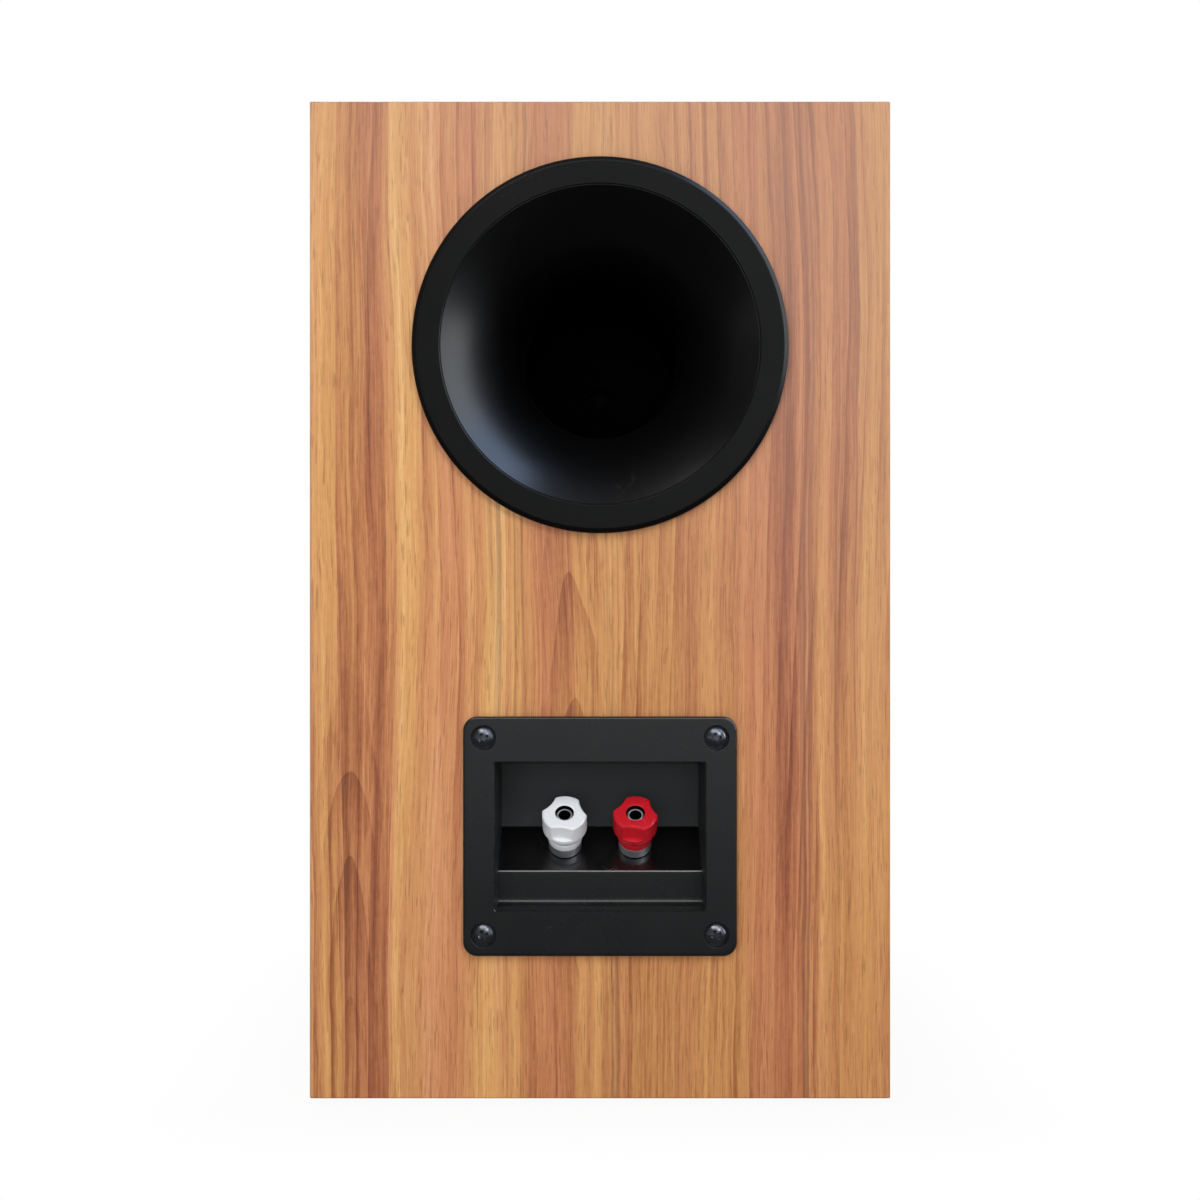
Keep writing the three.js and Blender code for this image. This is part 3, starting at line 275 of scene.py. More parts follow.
def make_veneer_figure():
    """Walnut print: flowing ribbons and growth lines, narrow strips, and tall arches over two hearts."""
    tree, given, result = effect(
        "veneer_figure",
        {"Across": 0.0, "Along": 0.0, "Sheet": 0.0, "Heart Across": 0.009, "Heart Along": 0.147},
        ["Colour", "Pores", "Tone"],
    )
    across, along, sheet = (given[key] for key in ("Across", "Along", "Sheet"))

    def layer(across_scale, along_scale, detail, roughness, seed, source=across):
        """Noise drawn out along the grain."""
        vector = add_node(
            tree, "ShaderNodeCombineXYZ", X=times(source, across_scale), Y=times(along, along_scale),
            Z=plus(sheet, seed),
        )
        return noise(vector.outputs[0], 1.0, detail, roughness)

    # the lines lean, meet and part again along the board
    sway = minus(layer(15.0, 5.0, 1.0, 0.5, 3.1), 0.5)
    flow = times_plus(sway, 0.013, across)
    shiver = minus(layer(90.0, 22.0, 2.0, 0.5, 5.3), 0.5)
    wavy = times_plus(shiver, 0.0022, flow)
    place = plus(times(flow, 58.0), sheet)
    strip = add_node(tree, "ShaderNodeTexVoronoi", {"voronoi_dimensions": "1D"}, W=place, Scale=1.0)
    strip = add_node(tree, "ShaderNodeSeparateColor", Color=strip.outputs["Color"]).outputs
    bands = layer(60.0, 1.4, 2.0, 0.5, 0.0, wavy)
    ribbons = layer(210.0, 2.2, 3.0, 0.6, 7.7, wavy)
    fibres = layer(900.0, 9.0, 3.0, 0.65, 11.3, wavy)
    fine = layer(3000.0, 60.0, 2.0, 0.65, 17.9, wavy)
    mottle = layer(900.0, 420.0, 2.0, 0.6, 19.3)
    streaks = smooth_range(layer(430.0, 1.7, 2.0, 0.6, 31.0, wavy), 0.54, 0.64)
    grouped = smooth_range(layer(38.0, 2.0, 1.0, 0.5, 37.0), 0.5, 0.64)
    for middle, reach in STREAK_GROUPS:
        away = magnitude(minus(wavy, middle))
        grouped = larger(grouped, smooth_range(away, 0.5 * reach, reach, 1.0, 0.0))

    # growth lines: each darkens slowly to one side and ends sharply
    growth = times_plus(wavy, 210.0, times(layer(24.0, 2.5, 2.0, 0.5, 29.0), 5.0))
    growth = power(calc("FRACT", growth), 2.6)
    shown = smooth_range(layer(55.0, 4.0, 1.0, 0.5, 43.0), 0.42, 0.64)

    # the saw cuts a growth ring as a tall arch, and the two hearts stand at different heights
    side = minus(flow, given["Heart Across"])
    heart = calc("ROUND", calc("DIVIDE", side, HEART_REPEAT))
    side = times_plus(heart, -HEART_REPEAT, side)
    width = magnitude(times_plus(shiver, 0.004, side))
    rise = minus(along, given["Heart Along"])
    rise = times_plus(heart, HEART_DROP, rise)
    arch = times_plus(power(width, 1.7), 130.0, rise)
    uneven = times(layer(9.0, 13.0, 2.0, 0.5, 23.0), 1.6)
    ring = calc("FRACT", times_plus(arch, 30.0, uneven))
    ring = power(ring, 1.6)
    near_heart = smooth_range(width, 0.004, 0.011, 1.0, 0.0)
    near_heart = times(near_heart, smooth_range(rise, 0.01, 0.05, 1.0, 0.0))
    near_heart = times(near_heart, smooth_range(rise, -0.09, -0.03))
    near_heart = times(near_heart, smooth_range(heart, -0.6, -0.4))

    tone = 0.54
    for field, amount, middle in (
        (strip["Red"], 0.24, 0.5), (bands, 0.55, 0.5), (ribbons, 0.62, 0.5), (fibres, 0.62, 0.5),
        (fine, 0.5, 0.5), (mottle, 0.16, 0.5),
        (times(growth, shown), -0.3, 0.12), (times(ring, near_heart), -0.2, 0.1),
    ):
        tone = times_plus(minus(field, middle), amount, tone)
    redness = times_plus(strip["Green"], 0.25, layer(70.0, 1.8, 3.0, 0.6, 47.0, wavy))
    redness = smooth_range(redness, 0.48, 0.76)
    golden = colour_ramp(tone, GOLDEN)
    russet = colour_ramp(tone, RUSSET)
    colour = mix_colours(redness, golden, russet)
    dark = times(times(streaks, grouped), 0.5)
    colour = mix_colours(dark, colour, (118, 74, 60))
    pores = smooth_range(layer(2600.0, 110.0, 1.0, 0.5, 41.0, wavy), 0.6, 0.68)
    colour = mix_colours(times(pores, 0.34), colour, (112, 64, 42))
    wire(result, Colour=colour, Pores=pores, Tone=tone)
    return tree


VENEER = make_veneer_figure()


def veneer_material(name, across, along, through, heart, sheet, painted_sheen=0.0):
    """Walnut wrap whose grain runs along one axis of the cabinet; a painted sheen of the given strength makes
    it paler towards one upper corner.
    """
    material, tree, shader, whole = new_material(name, roughness=0.42, specular=0.25)
    place = split(tree, whole)
    figure = use_effect(
        tree, VENEER, Across=place[across], Along=place[along], Sheet=times_plus(place[through], 3.0, sheet),
        Heart_Across=heart[0], Heart_Along=heart[1],
    )
    marks = use_effect(tree, MARKS, Vector=whole, Scale=1.0)
    # painted sheen: a paler, greyer colour is mixed in towards one upper corner, where light glances off the
    # wrap
    sheen_share = times(smooth_range(times_plus(place[across], -0.8, place[along]), 0.1, 0.34), painted_sheen)
    gloss = times_plus(figure["Tone"], -0.1, 0.48)
    wire(
        shader, Base_Color=mix_colours(sheen_share, figure["Colour"], (192, 156, 138)),
        Roughness=times_plus(marks["Dust"], 0.2, gloss),
    )
    bump(shader, minus(1.0, figure["Pores"]), 0.00004, 0.6)
    return material


# the rear wrap carries the painted sheen towards its upper corner
walnut_rear = veneer_material("walnut_rear", "X", "Z", "Y", (0.009, 0.147), 0.0, painted_sheen=0.42)
walnut_side = veneer_material("walnut_side", "Y", "Z", "X", (-0.02, 0.2), 5.0)
walnut_level = veneer_material("walnut_level", "Y", "X", "Z", (0.03, 0.05), 9.0)


# ---- Other finishes ----
def moulded_plastic(name, colour, roughness, grain=2200.0, depth=0.00001, specular=0.3, wear=0.08):
    """Injection-moulded plastic with its mould grain, slow gloss changes and a little dust."""
    material, tree, shader, place = new_material(name, specular=specular)
    texture = use_effect(tree, GRAIN, Vector=place, Grain_Scale=grain)
    marks = use_effect(tree, MARKS, Vector=place, Scale=1.0)
    gloss = times_plus(texture["Gloss Shift"], 0.12, roughness)
    wire(
        shader, Base_Color=mix_colours(times(marks["Dust"], wear), colour, (120, 118, 112)),
        Roughness=times_plus(marks["Scratches"], 0.1, gloss),
    )
    bump(shader, texture["Height"], depth)
    return material


def turned_metal(name, colour, stain_colour, roughness, rings=6000.0, depth=0.000004, tilt=0.0, metallic=1.0):
    """Plated or bare metal with lathe rings across its own axis, which leans back by tilt."""
    material, tree, shader, place = new_material(name, metallic=metallic)
    turned = add_node(tree, "ShaderNodeMapping", Vector=place, Rotation=(tilt, 0, 0))
    lathe = use_effect(tree, TURNED, Vector=turned.outputs[0], Rings=rings)
    marks = use_effect(tree, MARKS, Vector=place, Scale=2.0)
    gloss = times_plus(lathe["Stain"], 0.1, roughness)
    wire(
        shader, Base_Color=mix_colours(times(lathe["Stain"], 0.35), colour, stain_colour),
        Roughness=times_plus(marks["Scratches"], 0.15, gloss),
    )
    bump(shader, lathe["Height"], depth)
    return material


def woven_material(name, colour, thread_colour, threads, depth, roughness):
    """Cloth whose threads cross in the front's plane and run on round its edges."""
    material, tree, shader, whole = new_material(name, specular=0.2)
    place = split(tree, whole)
    across, upward = (plus(place[axis], place["Y"]) for axis in ("X", "Z"))
    flat = add_node(tree, "ShaderNodeCombineXYZ", X=across, Y=upward)
    weave = use_effect(tree, THREADS, Vector=flat.outputs[0], Threads=threads)
    fluff = noise(whole, 400.0, detail=3.0)
    wire(
        shader, Sheen_Weight=0.2, Base_Color=mix_colours(weave["Thread"], colour, thread_colour),
        Roughness=times_plus(fluff, 0.1, roughness),
    )
    bump(shader, weave["Height"], depth)
    return material


def board_material(name, colour, fleck_colour, roughness, fleck_scale=900.0, depth=0.00003):
    """Fibreboard, painted or bare, with its short fibres."""
    material, _, shader, place = new_material(name, specular=0.3)
    flecks = smooth_range(noise(place, fleck_scale, detail=4.0, roughness=0.7), 0.4, 0.7)
    cloudy = noise(place, 20.0, detail=3.0)
    wire(
        shader, Base_Color=mix_colours(times(flecks, 0.5), colour, fleck_colour),
        Roughness=times_plus(cloudy, 0.12, roughness),
    )
    bump(shader, flecks, depth)
    return material


def copper_material(name):
    """Enamelled wire laid in close turns round a vertical coil, with painted shade darkening the crevices
    between turns.
    """
    material, tree, shader, place = new_material(name, roughness=0.3, metallic=0.9)
    turns = magnitude(calc("SINE", times(split(tree, place)["Z"], 4200.0)))
    shade = mix_colours(noise(place, 150.0, detail=2.0), (176, 96, 52), (206, 128, 76))
    # painted shade: dark brown in the crevices between the turns
    wire(shader, Base_Color=mix_colours(turns, (92, 44, 24), shade))
    bump(shader, turns, 0.00015)
    return material


def wadding_material(name):
    """Loose polyester fibres."""
    material, _, shader, place = new_material(name, roughness=0.95, specular=0.1)
    fibres = noise(place, 900.0, detail=6.0, roughness=0.8)
    shade = mix_colours(noise(place, 60.0, detail=4.0), (196, 194, 188), (232, 231, 227))
    wire(shader, Sheen_Weight=0.5, Base_Color=mix_colours(fibres, (176, 174, 168), shade))
    bump(shader, fibres, 0.0006)
    return material


def board_green(name):
    """Solder-masked circuit board with copper tracks under the mask."""
    material, tree, shader, place = new_material(name, roughness=0.35)
    tracks = add_node(
        tree, "ShaderNodeTexBrick", Vector=place, Scale=70.0, Mortar_Size=0.03, Brick_Width=0.9,
        Row_Height=0.4, Color1=paint(30, 84, 48), Color2=paint(34, 92, 54), Mortar=paint(70, 122, 76),
    )
    wire(shader, Base_Color=tracks.outputs["Color"])
    bump(shader, tracks.outputs["Fac"], 0.00003)
    return material


cup_black = moulded_plastic("cup_black", (23, 26, 27), 0.28, grain=2600.0, depth=0.000006, specular=0.55)
# painted light: a lighter copy of the cup plastic for the recess's back and side walls, standing in for light
# that reaches deep into the recess
back_black = moulded_plastic("back_black", (46, 49, 51), 0.45, grain=2600.0, depth=0.000006, specular=0.4)
# painted shade: a near-black, glossier copy of the cup plastic for the sloped floor of the recess
floor_black = moulded_plastic(
    "floor_black", (6, 6, 7), 0.2, grain=900.0, depth=0.000001, specular=1.0, wear=0.03,
)
wire(floor_black.node_tree.nodes["Principled BSDF"], IOR=1.6)
ring_black = moulded_plastic("ring_black", (9, 10, 11), 0.36, grain=2400.0, depth=0.000006, specular=0.2)
flare_black = moulded_plastic("flare_black", (7, 7, 8), 0.33, grain=2400.0, depth=0.000003, specular=0.4)
# the port tube's own black, taken darker still as painted shade for its deep throat; the same near-black is
# laid into the plug holes as painted shade
tube_black = moulded_plastic("tube_black", (3, 3, 4), 0.7, specular=0.05, wear=0.02)
cap_white = moulded_plastic("cap_white", (241, 245, 250), 0.3, grain=1600.0, depth=0.000002, wear=0.1)
cap_red = moulded_plastic("cap_red", (205, 28, 42), 0.28, grain=1600.0, depth=0.000002, wear=0.1)
foot_rubber = moulded_plastic("foot_rubber", (24, 24, 24), 0.8, grain=1500.0, depth=0.00002, wear=0.6)
frame_black = moulded_plastic("frame_black", (24, 24, 25), 0.6)
cone_pulp = board_material("cone_pulp", (26, 26, 28), (46, 46, 48), 0.75, 1300.0)
roll_rubber = moulded_plastic("roll_rubber", (20, 20, 21), 0.5, grain=800.0, depth=0.00001)
baffle_black = board_material("baffle_black", (22, 22, 24), (34, 34, 36), 0.5, 1600.0, 0.00001)
bare_board = board_material("bare_board", (160, 126, 88), (116, 84, 52), 0.85)
sleeve_black = moulded_plastic("sleeve_black", (34, 34, 46), 0.25, grain=600.0)
cement_white = board_material("cement_white", (222, 220, 212), (190, 186, 176), 0.85, 1400.0)
ferrite_grey = board_material("ferrite_grey", (50, 50, 52), (84, 84, 88), 0.6, 1800.0)
POST_TILT = math.pi / 4
screw_black = turned_metal("screw_black", (104, 108, 116), (60, 62, 66), 0.24, depth=0.000001, metallic=0.9)
satin_nickel = turned_metal(
    "satin_nickel", (216, 221, 228), (168, 168, 166), 0.32, rings=3000.0, tilt=POST_TILT, metallic=0.85,
)
brass = turned_metal("brass", (206, 170, 96), (150, 112, 58), 0.28, tilt=POST_TILT)
# painted shade: the tweeter's steel yoke, seen deep through the port, is painted near-black
yoke_black = moulded_plastic("yoke_black", (8, 8, 9), 0.6, specular=0.1)
zinc_steel = turned_metal("zinc_steel", (166, 170, 176), (128, 126, 120), 0.35, rings=2500.0)
cloth_black = woven_material("cloth_black", (10, 10, 11), (34, 34, 36), 1100.0, 0.0003, 0.85)
spider_cloth = woven_material("spider_cloth", (150, 116, 52), (206, 172, 96), 1400.0, 0.00015, 0.8)
dome_silk = woven_material("dome_silk", (18, 18, 22), (44, 44, 50), 3200.0, 0.00004, 0.55)
copper_wire = copper_material("copper_wire")
wadding_white = wadding_material("wadding_white")
circuit_green = board_green("circuit_green")


# ---- Mesh helpers ----
MERGE_DISTANCE = 1e-7  # points closer than this are one
SHARP_ANGLE = math.radians(32)


def new_object(name, mesh, material):
    mesh.materials.clear()
    mesh.materials.append(material)
    obj = bpy.data.objects.new(name, mesh)
    bpy.context.scene.collection.objects.link(obj)
    return obj


def mesh_from(name, points, faces):
    mesh = bpy.data.meshes.new(name)
    mesh.from_pydata([tuple(point) for point in points], [], faces)
    return close_outward(mesh)


@contextmanager
def edited(mesh):
    """The mesh as an editable shell, which is written back at the end."""
    shell = bmesh.new()
    shell.from_mesh(mesh)
    yield shell
    shell.to_mesh(mesh)
    shell.free()


def close_outward(mesh):
    """Merges doubled points and turns every face outward."""
    with edited(mesh) as shell:
        bmesh.ops.remove_doubles(shell, verts=shell.verts, dist=MERGE_DISTANCE)
        bmesh.ops.recalc_face_normals(shell, faces=shell.faces)
        if shell.calc_volume(signed=True) < 0:
            bmesh.ops.reverse_faces(shell, faces=shell.faces)
    return mesh


def smooth(mesh):
    """Smooth shading with hard lines where faces meet at more than SHARP_ANGLE."""
    mesh.shade_smooth()
    mesh.set_sharp_from_angle(angle=SHARP_ANGLE)


def baked(obj, name, material):
    """The object's evaluated shape as a plain mesh object; the original is removed."""
    depsgraph = bpy.context.evaluated_depsgraph_get()
    mesh = bpy.data.meshes.new_from_object(obj.evaluated_get(depsgraph))
    mesh.name = name
    bpy.data.objects.remove(obj)
    return new_object(name, mesh, material)


def weighted(obj):
    """Large flat faces keep their own normals beside a rounded edge."""
    smooth(obj.data)
    materials = list(obj.data.materials)
    painted = [polygon.material_index for polygon in obj.data.polygons]
    modifier = obj.modifiers.new("weighted", "WEIGHTED_NORMAL")
    modifier.keep_sharp = True
    modifier.weight = 100
    obj = baked(obj, obj.name, materials[0])
    for material in materials[1:]:
        obj.data.materials.append(material)
    obj.data.polygons.foreach_set("material_index", painted)
    return obj


def seat(obj, body, slot, *nodes):
    """The finished piece rides on its body and stands for its CAD nodes, if it has any."""
    obj = weighted(obj)
    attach(obj, body)
    if nodes:
        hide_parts(*nodes)
    return obj


def loft_skin(rings, ends):
    """Points and faces of a skin through matching rings; ends names the rings that are capped."""
    count = len(rings[0])
    faces = []
    for row in range(len(rings) - 1):
        for i in range(count):
            here, after = row * count + i, row * count + (i + 1) % count
            faces.append((here, after, after + count, here + count))
    faces += [tuple(range(row * count, (row + 1) * count)) for row in ends]
    return [point for ring in rings for point in ring], faces


def loft_mesh(name, rings):
    """A closed skin through matching rings of points, capped at both ends."""
    return mesh_from(name, *loft_skin(rings, (0, len(rings) - 1)))


def lofted(name, rings, material):
    return new_object(name, loft_mesh(name, rings), material)


def arc(start, end, steps):
    return [start + (end - start) * step / steps for step in range(steps + 1)]


def eased_edge(radius, steps):
    """Pairs (in from the side, down from the face) along a quarter-round edge, from the side up to the face."""
    return [
        (radius * (1 - math.cos(angle)), radius * (1 - math.sin(angle))) for angle in arc(0, QUARTER, steps)
    ]


def rounded_outline(width, height, corner, steps=10):
    """Points (x, z) round a rectangle with rounded corners."""
    points = []
    quarters = [(1, 1, 0), (-1, 1, QUARTER), (-1, -1, math.pi), (1, -1, 3 * QUARTER)]
    for side, level, start in quarters:
        centre_x, centre_z = side * (width / 2 - corner), level * (height / 2 - corner)
        for angle in arc(start, start + QUARTER, steps):
            points.append((centre_x + corner * math.cos(angle), centre_z + corner * math.sin(angle)))
    return points


def upright_ring(centre, y, outline):
    """An outline of (x, z) as points round a centre, in the upright plane at y."""
    return [(centre.x + x, y, centre.z + z) for x, z in outline]


def circle_outline(radius, steps):
    return [(radius * math.cos(angle), radius * math.sin(angle)) for angle in arc(0, TURN, steps)[:-1]]


def repaint(obj, material, shown):
    """Gives another material to the faces that the test picks, from each face's normal and centre."""
    obj.data.materials.append(material)
    for polygon in obj.data.polygons:
        if shown(polygon.normal, polygon.center):
            polygon.material_index = len(obj.data.materials) - 1


def cut(obj, tools, operation="DIFFERENCE"):
    """Cuts closed tool meshes out of the object, one after the other."""
    material = obj.data.materials[0]
    name = obj.name
    helpers = [new_object("tool", tool, material) for tool in tools]
    for helper in helpers:
        modifier = obj.modifiers.new("cut", "BOOLEAN")
        modifier.operation = operation
        modifier.solver = "EXACT"
        modifier.object = helper
    result = baked(obj, name, material)
    for helper in helpers:
        bpy.data.objects.remove(helper)
    return result


# ---- Turned pieces, by Geometry Nodes ----
AXIS_CIRCLE = 0.001  # radius of the guide circle that a profile is swept round


def geometry_tree(name, inputs):
    tree = bpy.data.node_groups.new(name, "GeometryNodeTree")
    tree.interface.new_socket("Geometry", in_out="INPUT", socket_type="NodeSocketGeometry")
    tree.interface.new_socket("Geometry", in_out="OUTPUT", socket_type="NodeSocketGeometry")
    for label, kind in inputs:
        tree.interface.new_socket(label, in_out="INPUT", socket_type=kind)
    return tree, tree.nodes.new("NodeGroupInput"), tree.nodes.new("NodeGroupOutput")


def finish_tree(tree, given, result, geometry):
    """The tree's end: every instance made real, then the material set."""
    real = add_node(tree, "GeometryNodeRealizeInstances", Geometry=geometry)
    painted = add_node(
        tree, "GeometryNodeSetMaterial", Geometry=real.outputs[0], Material=given.outputs["Material"],
    )
    wire(result, _0=painted.outputs[0])


def run_tree(obj, tree, values):
    """Puts the tree on the object, with its inputs set by socket identifier."""
    modifier = obj.modifiers.new(tree.name, "NODES")
    modifier.node_group = tree
    for item in tree.interface.items_tree:
        if item.in_out == "INPUT" and item.name in values:
            modifier[item.identifier] = values[item.name]


def make_lathe_tree():
    """Sweeps the object's profile edges round the Z axis."""
    tree, given, result = geometry_tree(
        "turned_on_lathe",
        [("Facets", "NodeSocketInt"), ("Axis Circle", "NodeSocketFloat"), ("Material", "NodeSocketMaterial")],
    )
    profile = add_node(tree, "GeometryNodeMeshToCurve", Mesh=given.outputs["Geometry"])
    circle = add_node(
        tree, "GeometryNodeCurvePrimitiveCircle", Resolution=given.outputs["Facets"],
        Radius=given.outputs["Axis Circle"],
    )
    swept = add_node(
        tree, "GeometryNodeCurveToMesh", Curve=circle.outputs[0], Profile_Curve=profile.outputs[0],
    )
    merged = add_node(tree, "GeometryNodeMergeByDistance", Geometry=swept.outputs[0], Distance=1e-6)
    finish_tree(tree, given, result, merged.outputs[0])
    return tree


LATHE = make_lathe_tree()


def softened(corners, steps=4):
    """Rounds a profile's corners: each is (radius, height) or (radius, height, rounding)."""
    points = []
    for i, corner in enumerate(corners):
        here = Vector(corner[:2])
        rounding = corner[2] if len(corner) > 2 else 0
        before = Vector(corners[i - 1][:2]) - here
        after = Vector(corners[(i + 1) % len(corners)][:2]) - here
        if not rounding:
            points.append(here)
            continue
        opening = before.angle(after)
        reach = rounding / math.tan(opening / 2)
        start = here + before.normalized() * reach
        end = here + after.normalized() * reach
        bisector = (before.normalized() + after.normalized()).normalized()
        centre = here + bisector * (rounding / math.sin(opening / 2))
        for share in arc(0, 1, steps):
            spoke = (start - centre).lerp(end - centre, share).normalized()
            points.append(centre + spoke * rounding)
    return points


def turned(name, corners, material, facets=96, place=None):
    """A closed profile of (radius, height) corners turned round +Z, then put in place."""
    profile = softened(corners)
    mesh = bpy.data.meshes.new(name)
    points = [(point.x - AXIS_CIRCLE, -point.y, 0) for point in profile]
    on_axis = corners[0][0] == 0 and corners[-1][0] == 0
    count = len(points)
    edges = [(i, (i + 1) % count) for i in range(count - 1 if on_axis else count)]
    mesh.from_pydata(points, edges, [])
    blank = new_object(name, mesh, material)
    run_tree(blank, LATHE, {"Facets": facets, "Axis Circle": AXIS_CIRCLE, "Material": material})
    piece = baked(blank, name, material)
    close_outward(piece.data)
    if place is not None:
        piece.data.transform(place)
    return piece


def facing_rear(x, y, z):
    """Place for a turned piece whose +Z points out of the rear, along +Y."""
    return Matrix.Translation((x, y, z)) @ Matrix.Rotation(-QUARTER, 4, "X")


def facing_front(x, y, z):
    """Place for a turned piece whose +Z points out of the front, along -Y."""
    return Matrix.Translation((x, y, z)) @ Matrix.Rotation(QUARTER, 4, "X")


# ---- Cabinet ----
EDGE_ROUNDING = 0.7 * MM
SEAM = 0.25 * MM  # softened end of the side boards where they meet the baffle


def cabinet_panel(name, axis, sign, material):
    """One mitred board: its outer face runs into a rounded edge that meets its neighbour's on the mitre."""
    others = [i for i in range(3) if i != axis]

    def ring(inset, depth):
        low = [CABINET_LOW[i] + inset for i in others]
        high = [CABINET_HIGH[i] - inset for i in others]
        if axis != 1:
            front = others.index(1)
            low[front] = BAFFLE_BACK + min(inset, SEAM)
        outer = CABINET_HIGH[axis] if sign > 0 else CABINET_LOW[axis]
        points = []
        for a, b in ((low[0], low[1]), (high[0], low[1]), (high[0], high[1]), (low[0], high[1])):
            point = [0, 0, 0]
            point[axis] = outer - sign * depth
            point[others[0]] = a
            point[others[1]] = b
            points.append(point)
        return points

    rings = [ring(2 * EDGE_ROUNDING, 0)]
    for angle in arc(0, QUARTER / 2, 4):
        rings.append(ring(EDGE_ROUNDING * (1 - math.sin(angle)), EDGE_ROUNDING * (1 - math.cos(angle))))
    rings.append(ring(WALL, WALL))
    return lofted(name, rings, material)


PORT_FLANGE_RADIUS = (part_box("port_flare")[1].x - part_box("port_flare")[0].x) / 2
PORT_HOLE_RADIUS = 49.6 * MM
CUP_OPENING = (67.0 * MM, 49.6 * MM)
PORT_AXIS = middle_of("port_flare")
CUP_MIDDLE = middle_of("terminal_cup")


def hole_tool(name, outline, y0, y1, centre):
    return loft_mesh(name, [upright_ring(centre, y, outline) for y in (y0, y1)])


def round_tool(name, radius, y0, y1, centre):
    return hole_tool(name, circle_outline(radius, 96), y0, y1, centre)


def build_cabinet():
    panels = [
        ("left_panel", 0, -1, walnut_side), ("right_panel", 0, 1, walnut_side),
        ("bottom_panel", 2, -1, walnut_level), ("top_panel", 2, 1, walnut_level),
        ("rear_panel", 1, 1, walnut_rear),
    ]
    for node, axis, sign, material in panels:
        panel = cabinet_panel("walnut_" + node, axis, sign, material)
        if node == "rear_panel":
            y0, y1 = INNER_REAR - MM, REAR_FACE + MM
            panel = cut(panel, [
                round_tool("port_hole", PORT_HOLE_RADIUS, y0, y1, PORT_AXIS),
                hole_tool("cup_opening", rounded_outline(*CUP_OPENING, MM), y0, y1, CUP_MIDDLE),
            ])
        seat(panel, "cabinet", "walnut_wrap", node)


def build_feet():
    for row in ("front", "rear"):
        for side in ("left", "right"):
            node = f"{row}_{side}_foot"
            low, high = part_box(node)
            radius, height = (high.x - low.x) / 2, high.z - low.z
            corners = [
                (0, 0), (radius * 0.72, 0, 0.2 * MM), (radius * 0.76, 0.25 * MM, 0.2 * MM),
                (radius - 0.7 * MM, 0.25 * MM, 0.5 * MM), (radius, 0.9 * MM, 0.5 * MM), (radius, height),
                (0, height),
            ]
            place = Matrix.Translation((*middle_of(node).xy, low.z))
            foot = turned("rubber_" + node, corners, foot_rubber, 48, place)
            seat(foot, "cabinet", "foot_rubber", node)


# ---- Port ----
FLARE_DEPTH = 55 * MM
FLARE_POWER = 3.2
MOUTH_RADIUS = 46.7 * MM
BORE_RADIUS = 24 * MM
FLARE_WALL = 2.6 * MM
SPIGOT_WALL = 1.6 * MM
SPIGOT_END = 67 * MM  # below the flange's face
SHOULDER_RADII = (46.7 * MM, 49.3 * MM)  # the step behind the flange that locates it in its hole
SHOULDER_DEPTH = 6 * MM


def flare_radius(depth):
    left = max(0.0, 1 - depth / FLARE_DEPTH)
    return BORE_RADIUS + (MOUTH_RADIUS - BORE_RADIUS) * left ** FLARE_POWER


def build_port():
    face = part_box("port_flare")[1].y
    proud = face - REAR_FACE
    place = facing_rear(PORT_AXIS.x, face, PORT_AXIS.z)
    inner = []
    for share in arc(0, 1, 40):
        depth = FLARE_DEPTH * share ** 1.6
        inner.append((flare_radius(depth), -depth))
    outer = [(radius + FLARE_WALL, height) for radius, height in inner if height < -proud - SHOULDER_DEPTH]
    corners = inner[1:] + [
        (BORE_RADIUS, -SPIGOT_END), (BORE_RADIUS + SPIGOT_WALL, -SPIGOT_END),
        (BORE_RADIUS + SPIGOT_WALL, -FLARE_DEPTH),
    ] + outer[::-1] + [
        (SHOULDER_RADII[0], -proud - SHOULDER_DEPTH), (SHOULDER_RADII[1], -proud - SHOULDER_DEPTH),
        (SHOULDER_RADII[1], -proud),
        (PORT_FLANGE_RADIUS, -proud),
        (PORT_FLANGE_RADIUS, -1.0 * MM, 0.5 * MM),
        (PORT_FLANGE_RADIUS - 1.3 * MM, 0, 0.6 * MM),
        (MOUTH_RADIUS + 0.35 * MM, 0, 0.2 * MM),
        (MOUTH_RADIUS, -0.3 * MM, 0.1 * MM),
    ]
    flare = turned("port_flare_moulding", corners, flare_black, 192, place)
    repaint(flare, ring_black, lambda normal, point: (point - PORT_AXIS).xz.length > MOUTH_RADIUS)
    seat(flare, "cabinet", "port_plastic", "port_flare")

    low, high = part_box("port_tube")
    radius = (high.x - low.x) / 2
    length = high.y - low.y
    bore = radius - 2 * MM
    tube = turned("port_tube_extrusion", [
        (bore, 0), (bore, -length, 0.4 * MM), (radius, -length, 0.4 * MM), (radius, 0),
    ], tube_black, 96, facing_rear(PORT_AXIS.x, high.y, PORT_AXIS.z))
    seat(tube, "cabinet", "port_plastic", "port_tube")


# ---- Terminal cup ----
PLATE_HEIGHT = 70 * MM
PLATE_CORNER = 4.2 * MM
PLATE_EDGE = 0.9 * MM
RECESS_WIDTH = 61.4 * MM
RECESS_HEIGHT = 44 * MM
RECESS_DEPTH = 22 * MM
RECESS_CORNER = 1.2 * MM
RECESS_DRAFT = 1.0 * MM
MOUTH_ROUNDING = 0.55 * MM
LAND_DEPTH = 10 * MM
RIDGE_Z = -11.5 * MM
RIDGE_ROUNDING = 1.2 * MM
CUP_WALL = 2.5 * MM
SCREW_SPACING = (68 * MM, 57.5 * MM)
COUNTERBORE_RADIUS = 3.65 * MM
COUNTERBORE_EASE = 0.15 * MM
COUNTERBORE_DEPTH = 1.2 * MM
FACING = 0.9  # a face whose normal reaches this far along a direction faces that way


